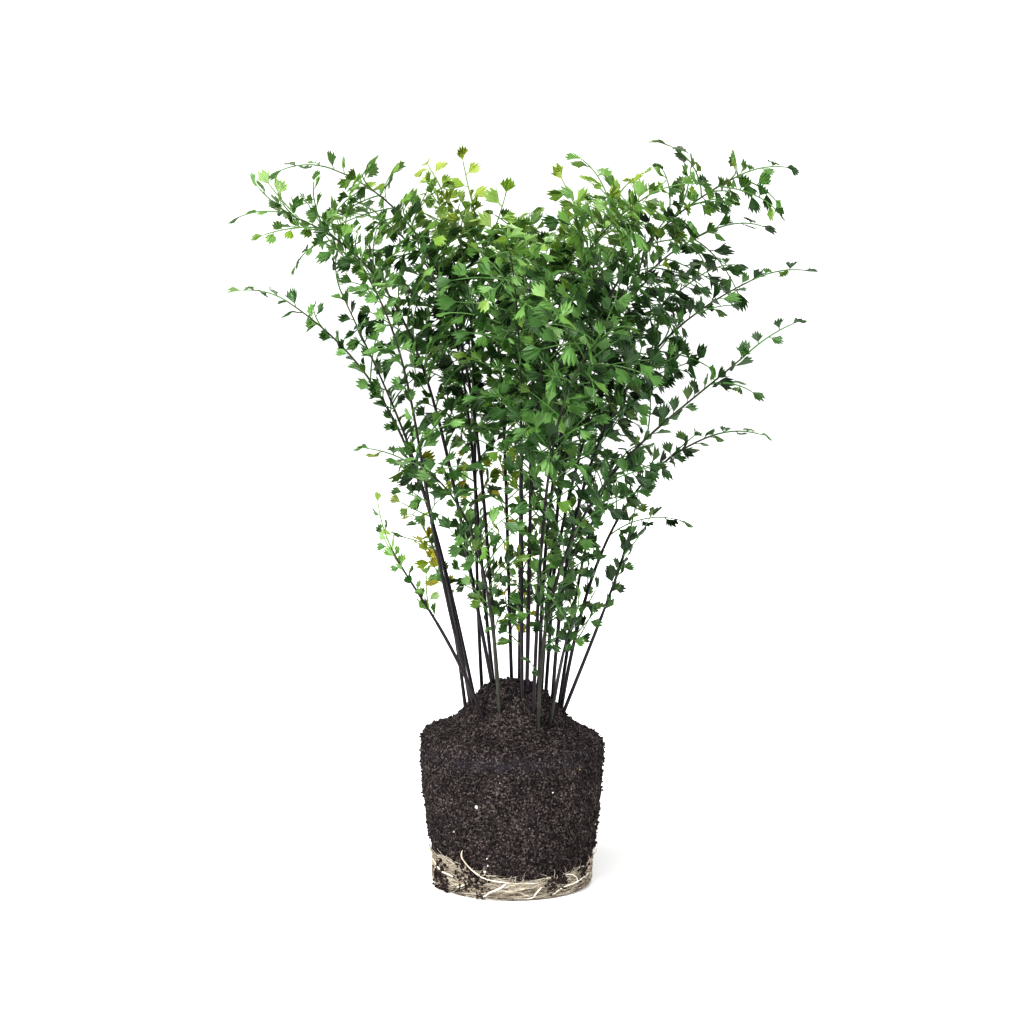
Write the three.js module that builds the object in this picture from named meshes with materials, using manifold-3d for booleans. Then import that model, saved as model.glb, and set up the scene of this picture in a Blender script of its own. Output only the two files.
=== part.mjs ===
import * as THREE from 'three';
import { mergeVertices } from 'three/addons/utils/BufferGeometryUtils.js';
import Module from 'manifold-3d';

// A maidenhair fern standing on its root ball, lifted out of its pot.
// Millimetres, +Z up, the foot of the root ball on z = 0 and its axis on x = y = 0.

const wasm = await Module();
wasm.setup();

// ---------------------------------------------------------------- driving dimensions

const GAP = 0.3; // clearance between two pieces that touch

// The soil ball keeps the tapered round shape of its pot, with a mound on top.
const BALL_SIDES = 24;
const SOIL_WALL = [[67.5, 33], [70, 52], [73.5, 82]]; // radius, height
const SOIL_MOUND = [[75, 111], [73, 119], [65, 124], [52, 130], [40, 140], [28, 153], [16, 163], [0, 165]];
const RIM_RADIUS = 75;
const SOIL_LUMP = 1.2; // how far the soil's face swells and dips
const LUMP_SPAN = 8;
const LUMP_RISE = 6;

// The root mat lies round and under the foot of the ball, just inside the soil's face.
const MAT_FOOT_RADIUS = 60;
const MAT_RADIUS = 65.3;
const MAT_SIDE = [[63.8, 2.5], [MAT_RADIUS, 9]];
const BOWL_RADIUS = 66; // where the soil starts to stand out past the mat
const BOWL_RING = 2;
const MAT_FLOOR_RADIUS = 50;
const MAT_FLOOR_HEIGHT = 18;
// Height of its torn upper edge, every 15 degrees from +X towards +Y.
const MAT_EDGE = [
  23, 22, 20, 18, 19, 21, 20, 18, 20, 23, 25, 26, 27, 28, 30, 28, 25, 20, 17, 15, 18, 19, 20, 22,
];
const ROOT_RADIUS = 0.8;
const ROOT_SIDES = 4;
// White roots on the face of the mat: degrees round the ball and height of each bend.
const WHITE_ROOTS = [
  [[193, 22], [211, 16.5], [226, 15]],
  [[250, 18], [265, 14.5], [288, 12]],
  [[266, 13.5], [261, 9.5], [249, 2]],
  [[290, 10.5], [285, 5], [279, 1.5]],
  [[339, 13], [321, 9.5], [308, 7.5], [297, 1.5]],
  [[305, 12.5], [315, 15], [325, 13]],
  [[228, 7], [238, 11]],
];

// Stems: thin rods that stand in holes in the soil.
const STEM_SIDES = 5;
const MIDRIB_SIDES = 3;
const STEM_FOOT_RADIUS = 1.6;
const STEM_TIP_RADIUS = 0.8;
const STEM_DEPTH = 20; // buried length
const STEM_SPANS = 3;
const FOOT_PULL = 0.56; // how long the stem holds its direction at the foot, as a share of its reach
const TIP_PULL = 0.36;

// Leaflets: fans with a pointed foot and three teeth between two shoulders. Each pair is the
// distance along the leaflet and across it, as a share of its length.
const LEAFLET_OUTLINE = [
  [0.58, -0.4], [0.88, -0.33], [0.76, -0.13], [1, 0.02], [0.78, 0.15], [0.87, 0.36], [0.56, 0.38],
];
const LEAFLET_CENTRE = 0.5;
const LEAFLET_LENGTH = 18.5;
const LEAFLET_SPREAD = 0.09; // how much one leaflet's size differs from the next
const LEAFLET_DOME = 1.1; // thickness at the centre
const LEAFLET_ANGLE = 64; // degrees between a side leaflet and its sprig
const LEAFLET_ROLL = 26;

// Sprigs: a thin midrib with leaflets in turn on its two sides, and one at its end.
const SPRIG_FOOT = 9; // bare length at the foot
const SPRIG_STEP = 10; // from one side leaflet to the next
const SPRIG_HALF_WIDTH = 0.8;
const SPRIG_HALF_HEIGHT = 0.6;
const NECK_HALF_WIDTH = 0.9;
const SPRIG_BEND = 0.7; // degrees of droop for each millimetre of length
const SPRIG_LEAFLETS = 4;
const SPRIG_SPACING = 76; // along the midrib of a frond
const FEWEST_SPRIGS = 2;
const MOST_SPRIGS = 4;
const FIRST_FOOT = 0.3; // where in its stretch of the midrib a sprig begins
const FOOT_SPREAD = 0.12;
const SPRIG_ROLL = 85; // degrees round the stem from the side that faces the light
const ROLL_SPREAD = 28;
const TILT_SPREAD = 0.35;
const BEND_SPREAD = 0.5;
const SPRIG_SHRINK = 0.05; // each sprig's leaflets are smaller than the last one's by this share
const TIP_SIZE = 0.9; // leaflets at the tip of a frond, against those further down
const TIP_SINK = 2; // overlap of a frond's midrib and the sprig at its tip
const KEEP_CLEAR = 5.2; // least distance between points of neighbouring sprigs and stems
const REACH = 90; // no sprig reaches further than this from its foot
const LIGHT_OUTWARD = 0.6; // leaves face outwards and upwards in these shares
const LIGHT_UPWARD = 0.8;

// Where a sprig meets another, it is turned round its stem, or set steeper or flatter.
const TURNS = [0, 22, -22, 44, -44, 66, -66, 90, -90, 115, -115, 140, -140, 165];
const SPREADS = [0, -14, 14, -28];
const TIP_TILTS = [0, 14, -14, 28];
const TIP_ROLL = 30;
const OPEN = 52; // usual angle between a sprig and its stem
const WARM_UP = 4; // draws let go at the start of each frond's stream

// A linear congruential stream of numbers.
const STREAM_RANGE = 4294967296;
const STREAM_SEED = 2654435761;
const STREAM_FACTOR = 1664525;
const STREAM_STEP = 1013904223;

const GREEN = 0x3f7a2c;
const DARK = 0x24501f;
const YOUNG = 0x86a83a;
const STEM_COLOUR = 0x241f24;
const SOIL_COLOUR = 0x2b2220;
const MAT_COLOUR = 0xb9a27c;

// Each frond: where its stem leaves the soil, its tip, how far the stem leans from upright at
// its foot, how far it still climbs at its tip (degrees), and the bare share of its length.
const FRONDS = {
  low_left: { foot: [-23, -31], tip: [-110, -70, 330], lean: 22, climb: 75, bare: 0.33, colour: YOUNG },
  far_left_top: { foot: [-16, 2], tip: [-225, -20, 556], lean: 11, climb: 8, bare: 0.36, colour: GREEN },
  upper_left: { foot: [-12, 18], tip: [-196, 50, 590], lean: 4, climb: 6, bare: 0.39, colour: GREEN },
  left_inner: { foot: [-31, -10], tip: [-160, -60, 560], lean: 16, climb: 45, bare: 0.33, colour: GREEN },
  back_left_top: { foot: [-14, 30], tip: [-150, 110, 550], lean: 8, climb: 10, bare: 0.36, colour: DARK },
  left_mid: { foot: [-34, 6], tip: [-160, 60, 525], lean: 10, climb: 65, bare: 0.33, colour: DARK },
  far_left_mid: { foot: [-30, 24], tip: [-230, 80, 495], lean: 12, climb: 25, bare: 0.34, colour: DARK },
  front_left: { foot: [-10, -34], tip: [-95, -145, 375], lean: 4, climb: 20, bare: 0.27, colour: GREEN },
  front_tall: { foot: [8, -24], tip: [-10, -130, 555], lean: 2, climb: 30, bare: 0.32, colour: GREEN },
  back_top: { foot: [0, 32], tip: [-45, 120, 590], lean: 4, climb: 55, bare: 0.34, colour: YOUNG },
  front_right: { foot: [17, -30], tip: [95, -155, 475], lean: 4, climb: 15, bare: 0.33, colour: GREEN },
  front_right_top: { foot: [12, -10], tip: [150, -60, 582], lean: 1, climb: 20, bare: 0.36, colour: GREEN },
  far_right_top: { foot: [22, 0], tip: [232, 30, 594], lean: 1, climb: 18, bare: 0.36, colour: GREEN },
  right_upper: { foot: [24, 16], tip: [220, 90, 540], lean: 3, climb: 4, bare: 0.36, colour: DARK },
  back_right_upper: { foot: [20, 30], tip: [200, 140, 510], lean: 8, climb: 20, bare: 0.36, colour: DARK },
  far_right: { foot: [33, 6], tip: [245, 10, 512], lean: 3, climb: 18, bare: 0.32, colour: DARK },
  right_hook: { foot: [21, -40], tip: [224, -60, 478], lean: 0, climb: 48, bare: 0.33, colour: DARK },
  right_low: { foot: [40, 14], tip: [215, 40, 372], lean: 9, climb: 2, bare: 0.34, colour: DARK },
  right_short: { foot: [41, -4], tip: [104, -30, 340], lean: 22, climb: 78, bare: 0.34, colour: DARK },
  front_short: { foot: [30, -34], tip: [66, -92, 268], lean: 16, climb: 45, bare: 0.32, colour: GREEN },
  back_left: { foot: [-24, 38], tip: [-80, 150, 590], lean: 8, climb: 25, bare: 0.34, colour: YOUNG },
  back_mid: { foot: [6, 42], tip: [15, 190, 550], lean: 8, climb: 20, bare: 0.32, colour: GREEN },
  back_right: { foot: [12, 36], tip: [60, 120, 560], lean: 4, climb: 40, bare: 0.34, colour: YOUNG },
  back_right_out: { foot: [27, 36], tip: [110, 170, 585], lean: 8, climb: 35, bare: 0.34, colour: GREEN },
  low_back_left: { foot: [-38, 24], tip: [-95, 140, 295], lean: 16, climb: 15, bare: 0.32, colour: GREEN },
  low_back_right: { foot: [38, 30], tip: [120, 150, 355], lean: 15, climb: 15, bare: 0.32, colour: DARK },
};

// Small or narrow fronds: the size of their leaflets, and the angle their sprigs open to.
const NARROW_FRONDS = {
  low_left: { size: 0.66, open: 22 },
  far_left_top: { size: 0.8, open: 28 },
  far_left_mid: { size: 0.85, open: 38 },
  front_left: { size: 0.85, open: 40 },
  far_right_top: { size: 0.95, open: 42 },
  far_right: { size: 0.85, open: 38 },
  right_hook: { size: 0.85, open: 38 },
  right_low: { size: 0.8, open: 26 },
  right_short: { size: 0.75, open: 28 },
  front_short: { size: 0.72, open: 32 },
  low_back_left: { size: 0.8, open: 36 },
  low_back_right: { size: 0.8, open: 36 },
};
const WIDE_FROND = { size: 1, open: OPEN };
const STEM_PROBE = 4; // from one point kept clear along a stem to the next

const UP = new THREE.Vector3(0, 0, 1);
const { cos, sin, hypot, round, floor, PI } = Math;
const radians = THREE.MathUtils.degToRad;

// ---------------------------------------------------------------- solids

// A closed mesh from a list of points and a list of corner triples.
function meshGeometry(points, triangles) {
  const geometry = new THREE.BufferGeometry();
  geometry.setAttribute('position', new THREE.Float32BufferAttribute(points.flatMap((p) => p.toArray()), 3));
  geometry.setIndex(triangles.flat());
  return geometry;
}

function toManifold(source) {
  const geometry = source.clone();
  geometry.deleteAttribute('normal');
  geometry.deleteAttribute('uv');
  const merged = mergeVertices(geometry);
  const mesh = new wasm.Mesh({
    numProp: 3,
    vertProperties: new Float32Array(merged.attributes.position.array),
    triVerts: new Uint32Array(merged.index.array),
  });
  return new wasm.Manifold(mesh);
}

function toGeometry(solid) {
  const mesh = solid.getMesh();
  const geometry = new THREE.BufferGeometry();
  geometry.setAttribute('position', new THREE.BufferAttribute(mesh.vertProperties, 3));
  geometry.setIndex(new THREE.BufferAttribute(mesh.triVerts, 1));
  return geometry;
}

// A repeatable stream of draws between -1 and 1.
function drawStream(seed) {
  let state = (seed * STREAM_SEED) % STREAM_RANGE;
  return () => {
    state = (state * STREAM_FACTOR + STREAM_STEP) % STREAM_RANGE;
    return (2 * state) / STREAM_RANGE - 1;
  };
}

// ---------------------------------------------------------------- root ball

function moundHeight(radius) {
  const ring = SOIL_MOUND.findIndex(([r]) => r <= radius);
  const [innerRadius, innerHeight] = SOIL_MOUND[ring];
  const [outerRadius, outerHeight] = SOIL_MOUND[ring - 1];
  return innerHeight + ((outerHeight - innerHeight) * (radius - innerRadius)) / (outerRadius - innerRadius);
}

// Height of the mat's torn edge at one of the ball's facet corners.
function matEdge(x, y) {
  const corner = round((Math.atan2(y, x) / (2 * PI)) * BALL_SIDES);
  return MAT_EDGE[(corner + BALL_SIDES) % BALL_SIDES];
}

// A solid turned round the upright axis. shape(point, ring) then moves each point of it, where
// ring counts along the profile.
function turnedSolid(profile, shape) {
  const points = profile.map(([radius, height]) => new THREE.Vector2(radius, height));
  const geometry = new THREE.LatheGeometry(points, BALL_SIDES);
  geometry.rotateX(PI / 2);
  const position = geometry.attributes.position;
  const point = new THREE.Vector3();
  for (let i = 0; i < position.count; i += 1) {
    point.fromBufferAttribute(position, i);
    shape(point, i % profile.length);
    position.setXYZ(i, point.x, point.y, point.z);
  }
  return toManifold(geometry);
}

// The bowl between mat and soil, from the axis out to the mat's torn edge, raised by a height.
function bowl(height) {
  const floorHeight = MAT_FLOOR_HEIGHT + height;
  return [[0, floorHeight], [MAT_FLOOR_RADIUS, floorHeight], [BOWL_RADIUS, height]];
}

function shapeBowl(point, ring) {
  if (ring === BOWL_RING) point.z += matEdge(point.x, point.y);
}

function soilSolid() {
  return turnedSolid([...bowl(GAP), ...SOIL_WALL, ...SOIL_MOUND], (point, ring) => {
    shapeBowl(point, ring);
    if (ring <= BOWL_RING) return;
    const outward = hypot(point.x, point.y) / RIM_RADIUS;
    const rise = point.z / LUMP_RISE;
    const lump = SOIL_LUMP * sin(point.x / LUMP_SPAN + rise) * cos(point.y / LUMP_SPAN - rise);
    const swell = 1 + (lump * outward) / RIM_RADIUS;
    point.set(point.x * swell, point.y * swell, point.z + lump * (1 - outward));
  });
}

// A white root: a thin rod through the bends given, half sunk in the mat's face.
function whiteRoot(bends) {
  const points = bends.map(([degrees, height]) => {
    const angle = radians(degrees);
    return new THREE.Vector3(MAT_RADIUS * cos(angle), MAT_RADIUS * sin(angle), height);
  });
  const stations = points.map((point, i) => {
    const next = points[Math.min(i + 1, points.length - 1)];
    const along = next.clone().sub(points[Math.max(i - 1, 0)]);
    const outward = point.clone().setZ(0).normalize();
    return { point, side: outward, over: outward.clone().cross(along).normalize(), radius: ROOT_RADIUS };
  });
  return rod(stations, ROOT_SIDES);
}

function matSolid() {
  const top = SOIL_WALL[1][1];
  const puck = turnedSolid(
    [[0, 0], [MAT_FOOT_RADIUS, 0], ...MAT_SIDE, [MAT_RADIUS, top - 1], [0, top - 1]],
    () => {},
  );
  const hollow = turnedSolid([...bowl(0), [BOWL_RADIUS, top], [0, top]], shapeBowl);
  return WHITE_ROOTS.reduce((solid, bends) => solid.add(whiteRoot(bends)), puck.subtract(hollow));
}

// ---------------------------------------------------------------- stems

// A rod through a row of stations, each with a point, two directions across it and a radius.
function rod(stations, sides) {
  const geometry = new THREE.CylinderGeometry(1, 1, 1, sides, stations.length - 1);
  const position = geometry.attributes.position;
  const point = new THREE.Vector3();
  for (let i = 0; i < position.count; i += 1) {
    point.fromBufferAttribute(position, i);
    const station = stations[round((point.y + 0.5) * (stations.length - 1))];
    const place = station.point
      .clone()
      .addScaledVector(station.side, point.x * station.radius)
      .addScaledVector(station.over, point.z * station.radius);
    position.setXYZ(i, place.x, place.y, place.z);
  }
  return toManifold(geometry);
}

// The line of a stem: it rises from the soil, leaning out towards its tip, and arches over. All
// of it lies in one upright plane. Below the soil it runs on straight.
class StemLine {
  constructor({ foot, tip, lean, climb }) {
    const start = new THREE.Vector3(foot[0], foot[1], moundHeight(hypot(foot[0], foot[1])));
    const end = new THREE.Vector3(tip[0], tip[1], tip[2]);
    const out = end.clone().sub(start).setZ(0).normalize();
    this.length = start.distanceTo(end);
    this.across = UP.clone().cross(out);
    const heading = (degrees) =>
      out.clone().multiplyScalar(cos(radians(degrees))).addScaledVector(UP, sin(radians(degrees)));
    this.corners = [
      start,
      start.clone().addScaledVector(heading(90 - lean), this.length * FOOT_PULL),
      end.clone().addScaledVector(heading(climb), -this.length * TIP_PULL),
      end,
    ];
  }

  // t runs from 0 at the soil to 1 at the tip. Below 0 it is buried.
  pointAt(t) {
    const straight = [1 - 3 * t, 3 * t, 0, 0];
    const curved = [(1 - t) ** 3, 3 * t * (1 - t) ** 2, 3 * t * t * (1 - t), t ** 3];
    const weights = t < 0 ? straight : curved;
    const point = new THREE.Vector3();
    this.corners.forEach((corner, i) => point.addScaledVector(corner, weights[i]));
    return point;
  }

  headingAt(t) {
    const [a, b, c, d] = this.corners;
    const s = Math.max(t, 0);
    return new THREE.Vector3()
      .addScaledVector(b.clone().sub(a), (1 - s) ** 2)
      .addScaledVector(c.clone().sub(b), 2 * s * (1 - s))
      .addScaledVector(d.clone().sub(c), s * s)
      .normalize();
  }

  // How much t changes over one millimetre at the soil and, nearly, along the rest.
  get step() {
    return 1 / (3 * FOOT_PULL * this.length);
  }

  // Where the midrib ends and the sprig at the frond's tip takes over.
  get bladeEnd() {
    const sprig = SPRIG_FOOT + SPRIG_STEP * (SPRIG_LEAFLETS - 1) + LEAFLET_LENGTH * TIP_SIZE;
    return 1 - sprig / (3 * TIP_PULL * this.length);
  }

  station(t, radius) {
    const over = this.across.clone().cross(this.headingAt(t));
    return { point: this.pointAt(t), side: this.across, over, radius };
  }

  radiusAt(t) {
    return THREE.MathUtils.lerp(STEM_FOOT_RADIUS, STEM_TIP_RADIUS, Math.max(t, 0));
  }

  rodThrough(stations, sides) {
    return rod(stations.map((t) => this.station(t, this.radiusAt(t))), sides);
  }
}

function stemSolids(line, frond) {
  const buried = -STEM_DEPTH * line.step;
  const stations = [buried];
  for (let i = 1; i <= STEM_SPANS; i += 1) stations.push((frond.bare * i) / STEM_SPANS);
  const stem = line.rodThrough(stations, STEM_SIDES);
  const clearRadius = STEM_FOOT_RADIUS + GAP / cos(PI / STEM_SIDES);
  const holeStations = [buried - GAP * line.step, stations[1]];
  const hole = rod(holeStations.map((t) => line.station(t, clearRadius)), STEM_SIDES);
  return { stem, hole };
}

// ---------------------------------------------------------------- sprigs

// The skin of a thin blade in the plane z = 0. Each corner lies on the blade's edge, or is
// raised to both sides of the plane. Faces name corners and are laid on both sides alike.
class BladeSkin {
  constructor() {
    this.points = [];
    this.above = [];
    this.below = [];
    this.triangles = [];
  }

  edge(point) {
    this.points.push(point);
    this.above.push(this.points.length - 1);
    this.below.push(this.points.length - 1);
    return this.above.length - 1;
  }

  raised(point, normal, height) {
    this.points.push(point.clone().addScaledVector(normal, height));
    this.points.push(point.clone().addScaledVector(normal, -height));
    this.above.push(this.points.length - 2);
    this.below.push(this.points.length - 1);
    return this.above.length - 1;
  }

  upperFace(a, b, c, mirrored) {
    const [p, q, r] = mirrored ? [a, c, b] : [a, b, c];
    this.triangles.push([this.above[p], this.above[q], this.above[r]]);
  }

  lowerFace(a, b, c, mirrored) {
    const [p, q, r] = mirrored ? [a, c, b] : [a, b, c];
    this.triangles.push([this.below[p], this.below[r], this.below[q]]);
  }

  face(a, b, c, mirrored) {
    this.upperFace(a, b, c, mirrored);
    this.lowerFace(a, b, c, mirrored);
  }

  along(corner) {
    return this.points[this.above[corner]].x;
  }

  // Triangles between the midrib's ridge and one of its rails. The stretches that open into a
  // leaflet are left out.
  strip(ridge, rail, necks, mirrored) {
    let i = 0;
    let j = 0;
    while (i < ridge.length - 1 || j < rail.length - 1) {
      const ridgeDone = i === ridge.length - 1;
      const railDone = j === rail.length - 1;
      if (!railDone && (ridgeDone || this.along(rail[j + 1]) < this.along(ridge[i + 1]))) {
        if (!necks.has(rail[j])) this.face(ridge[i], rail[j + 1], rail[j], mirrored);
        j += 1;
      } else {
        this.face(ridge[i], ridge[i + 1], rail[j], mirrored);
        i += 1;
      }
    }
  }

  // One leaflet. Its upper side is domed round a centre, and its under side is nearly flat.
  leaflet(foot, back, front, { angle, side, length, roll }) {
    const origin = new THREE.Vector3(this.along(foot), 0, 0);
    const heading = new THREE.Vector3(cos(angle), side * sin(angle), 0);
    const across = new THREE.Vector3(sin(angle) * cos(roll), -side * cos(angle) * cos(roll), sin(roll));
    const normal = across.clone().cross(heading).multiplyScalar(side);
    const at = (u, v) => {
      return origin.clone().addScaledVector(heading, u * length).addScaledVector(across, v * length);
    };
    const middle = at(LEAFLET_CENTRE, 0).addScaledVector(normal, LEAFLET_DOME);
    const outline = LEAFLET_OUTLINE.map(([u, v]) => at(u, v));
    const rim = [back, ...outline.map((point) => this.edge(point)), front];
    const ring = [foot, ...rim];
    this.points.push(middle);
    this.above.push(this.points.length - 1);
    this.below.push(this.points.length - 1);
    const centre = this.above.length - 1;
    ring.forEach((corner, i) => this.upperFace(centre, ring[(i + 1) % ring.length], corner, side < 0));
    rim.slice(1).forEach((corner, i) => this.lowerFace(foot, corner, rim[i], side < 0));
    return outline.flatMap((point) => [point, point.clone().lerp(middle, 0.5)]).concat([middle]);
  }
}

// A sprig along +X in the plane z = 0, with side leaflets in turn left and right, and one at
// the end. probes are points spread over it, for judging what it would touch.
function sprigShape(leaflets, firstSide) {
  const skin = new BladeSkin();
  const necks = new Set();
  const ridgeAt = (x) => skin.raised(new THREE.Vector3(x, 0, 0), UP, SPRIG_HALF_HEIGHT);
  const railAt = (x, side) => skin.edge(new THREE.Vector3(x, side * SPRIG_HALF_WIDTH, 0));
  const ridge = [ridgeAt(0)];
  const rails = { left: [railAt(0, 1)], right: [railAt(0, -1)] };
  const blades = [];
  const last = leaflets.length - 1;
  leaflets.forEach(({ length, roll }, i) => {
    const x = SPRIG_FOOT + i * SPRIG_STEP;
    const foot = ridgeAt(x);
    ridge.push(foot);
    if (i === last) {
      const left = railAt(x, 1);
      const right = railAt(x, -1);
      rails.left.push(left);
      rails.right.push(right);
      blades.push({ foot, back: left, front: right, angle: 0, side: 1, length, roll });
      return;
    }
    const side = i % 2 ? -firstSide : firstSide;
    const back = railAt(x - NECK_HALF_WIDTH, side);
    const front = railAt(x + NECK_HALF_WIDTH, side);
    (side > 0 ? rails.left : rails.right).push(back, front);
    necks.add(back);
    blades.push({ foot, back, front, angle: radians(LEAFLET_ANGLE), side, length, roll });
  });
  const railProbes = skin.points.slice();
  skin.strip(ridge, rails.left, necks, false);
  skin.strip(ridge, rails.right, necks, true);
  const bladeProbes = blades.flatMap((blade) => skin.leaflet(blade.foot, blade.back, blade.front, blade));
  const [top, bottom] = [skin.above[ridge[0]], skin.below[ridge[0]]];
  const [left, right] = [skin.above[rails.left[0]], skin.above[rails.right[0]]];
  skin.triangles.push([top, left, right], [bottom, right, left]);
  return { points: skin.points, triangles: skin.triangles, railProbes, bladeProbes };
}

// Bends a flat sprig into its droop and carries it to its place.
function carry(points, bend, { origin, along, normal }) {
  const across = normal.clone().cross(along);
  return points.map(({ x, y, z }) => {
    const turn = bend * x;
    return origin
      .clone()
      .addScaledVector(along, sin(turn) / bend + z * sin(turn))
      .addScaledVector(across, y)
      .addScaledVector(normal, (cos(turn) - 1) / bend + z * cos(turn));
  });
}

// ---------------------------------------------------------------- fronds

// The way leaves face: up, and out from the middle of the plant.
function lightAt(point) {
  const outward = point.clone().setZ(0).normalize();
  return outward.multiplyScalar(LIGHT_OUTWARD).addScaledVector(UP, LIGHT_UPWARD);
}

function squareTo(direction, axis) {
  return direction.clone().addScaledVector(axis, -direction.dot(axis)).normalize();
}

// Least distance from a sprig's probes to the stems and sprigs around it.
function clearance(railPoints, bladePoints, around, owner) {
  let least = Infinity;
  const measure = (point, neighbour) => {
    least = Math.min(least, point.distanceToSquared(neighbour.point));
  };
  for (const neighbour of around) {
    bladePoints.forEach((point) => measure(point, neighbour));
    if (neighbour.owner !== owner) railPoints.forEach((point) => measure(point, neighbour));
  }
  return Math.sqrt(least);
}

// Places one sprig where it keeps clear of its neighbours: tries each way it may grow in turn
// and keeps the first that is clear enough, or else the clearest.
function placeSprig(ways, leaflets, bend, neighbours, owner) {
  const around = neighbours.filter(({ point }) => point.distanceTo(ways[0].place.origin) < REACH);
  let best = { clear: -1 };
  for (const { place, firstSide } of ways) {
    const shape = sprigShape(leaflets, firstSide);
    const railPoints = carry(shape.railProbes, bend, place);
    const bladePoints = carry(shape.bladeProbes, bend, place);
    const clear = clearance(railPoints, bladePoints, around, owner);
    if (clear > best.clear) best = { clear, shape, place, probes: [...railPoints, ...bladePoints] };
    if (clear >= KEEP_CLEAR) break;
  }
  return best;
}

function sideWays(origin, heading, roll, tilt, open) {
  const ways = [];
  const light = lightAt(origin);
  const outer = squareTo(light, heading);
  const beside = heading.clone().cross(outer);
  for (const spread of SPREADS) {
    for (const turn of TURNS) {
      const angle = radians(roll + turn);
      const along = outer
        .clone()
        .multiplyScalar(cos(angle))
        .addScaledVector(beside, sin(angle))
        .multiplyScalar(sin(radians(open + spread)))
        .addScaledVector(heading, cos(radians(open + spread)));
      const normal = squareTo(light.clone().add(tilt), along);
      const firstSide = normal.clone().cross(along).dot(heading) > 0 ? -1 : 1;
      ways.push({ place: { origin, along, normal }, firstSide });
    }
  }
  return ways;
}

function tipWays(origin, heading, roll) {
  const ways = [];
  const outer = squareTo(lightAt(origin), heading);
  for (const tilt of TIP_TILTS) {
    for (const turn of TURNS) {
      const normal = outer.clone().applyAxisAngle(heading, radians(roll + turn));
      const along = heading.clone().applyAxisAngle(normal, radians(tilt));
      ways.push({ place: { origin, along, normal }, firstSide: 1 });
    }
  }
  return ways;
}

function leafletRow(count, size, draw) {
  return Array.from({ length: count }, () => ({
    length: LEAFLET_LENGTH * size * (1 + LEAFLET_SPREAD * draw()),
    roll: radians(LEAFLET_ROLL * draw()),
  }));
}

// The leafy part of one frond as a single solid.
function frondSolid(line, frond, owner, neighbours) {
  const { bare, size, open } = frond;
  const draw = drawStream(owner + 1);
  for (let i = 0; i < WARM_UP; i += 1) draw();
  const foot = bare + GAP * line.step;
  const end = line.bladeEnd;
  const leafy = (end - foot) * line.length;
  const sprigCount = THREE.MathUtils.clamp(round(leafy / SPRIG_SPACING), FEWEST_SPRIGS, MOST_SPRIGS);
  const feet = Array.from({ length: sprigCount }, (_, i) => {
    return foot + ((end - foot) * (i + FIRST_FOOT + FOOT_SPREAD * draw())) / sprigCount;
  });
  const stations = [foot, ...feet.flatMap((t, i) => [t, (t + (feet[i + 1] ?? end)) / 2]), end];
  let solid = line.rodThrough(stations, MIDRIB_SIDES);
  const grow = (ways, leaflets, bend) => {
    const { shape, place, probes } = placeSprig(ways, leaflets, bend, neighbours, owner);
    const points = carry(shape.points, bend, place);
    solid = solid.add(toManifold(meshGeometry(points, shape.triangles)));
    probes.forEach((point) => neighbours.push({ point, owner }));
  };
  const droop = () => radians(SPRIG_BEND * (1 + BEND_SPREAD * draw()));
  feet.forEach((t, i) => {
    const roll = (i % 2 ? -SPRIG_ROLL : SPRIG_ROLL) + ROLL_SPREAD * draw();
    const tilt = new THREE.Vector3(draw(), draw(), draw()).multiplyScalar(TILT_SPREAD);
    const bend = droop();
    const leaflets = leafletRow(SPRIG_LEAFLETS, size * (1 - SPRIG_SHRINK * i), draw);
    grow(sideWays(line.pointAt(t), line.headingAt(t), roll, tilt, open), leaflets, bend);
  });
  const leaflets = leafletRow(SPRIG_LEAFLETS, size * TIP_SIZE, draw);
  const bend = droop();
  const heading = line.headingAt(end);
  const origin = line.pointAt(end).addScaledVector(heading, -TIP_SINK);
  grow(tipWays(origin, heading, TIP_ROLL * draw()), leaflets, bend);
  return solid;
}

// ---------------------------------------------------------------- the plant

const plant = new THREE.Group();

function addPiece(name, solid, color, roughness) {
  const material = new THREE.MeshStandardMaterial({ color, roughness, metalness: 0 });
  const mesh = new THREE.Mesh(toGeometry(solid), material);
  mesh.name = name;
  plant.add(mesh);
}

const fronds = Object.entries(FRONDS).map(([name, frond]) => {
  return { name, ...frond, ...(NARROW_FRONDS[name] ?? WIDE_FROND) };
});
const lines = fronds.map((frond) => new StemLine(frond));
const neighbours = lines.flatMap((line, owner) => {
  const count = floor(line.length / STEM_PROBE);
  return Array.from({ length: count + 1 }, (_, i) => {
    return { point: line.pointAt((line.bladeEnd * i) / count), owner };
  });
});

const stems = lines.map((line, owner) => stemSolids(line, fronds[owner]));
const soil = stems.reduce((solid, { hole }) => solid.subtract(hole), soilSolid());
addPiece('soil_ball', soil, SOIL_COLOUR, 0.95);
addPiece('root_mat', matSolid(), MAT_COLOUR, 0.9);
fronds.forEach((frond, owner) => {
  addPiece(`stem_${frond.name}`, stems[owner].stem, STEM_COLOUR, 0.45);
  const blades = frondSolid(lines[owner], frond, owner, neighbours);
  addPiece(`frond_${frond.name}`, blades, frond.colour, 0.5);
});

export default plant;
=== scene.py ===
import itertools
import math
from collections import namedtuple

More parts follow.
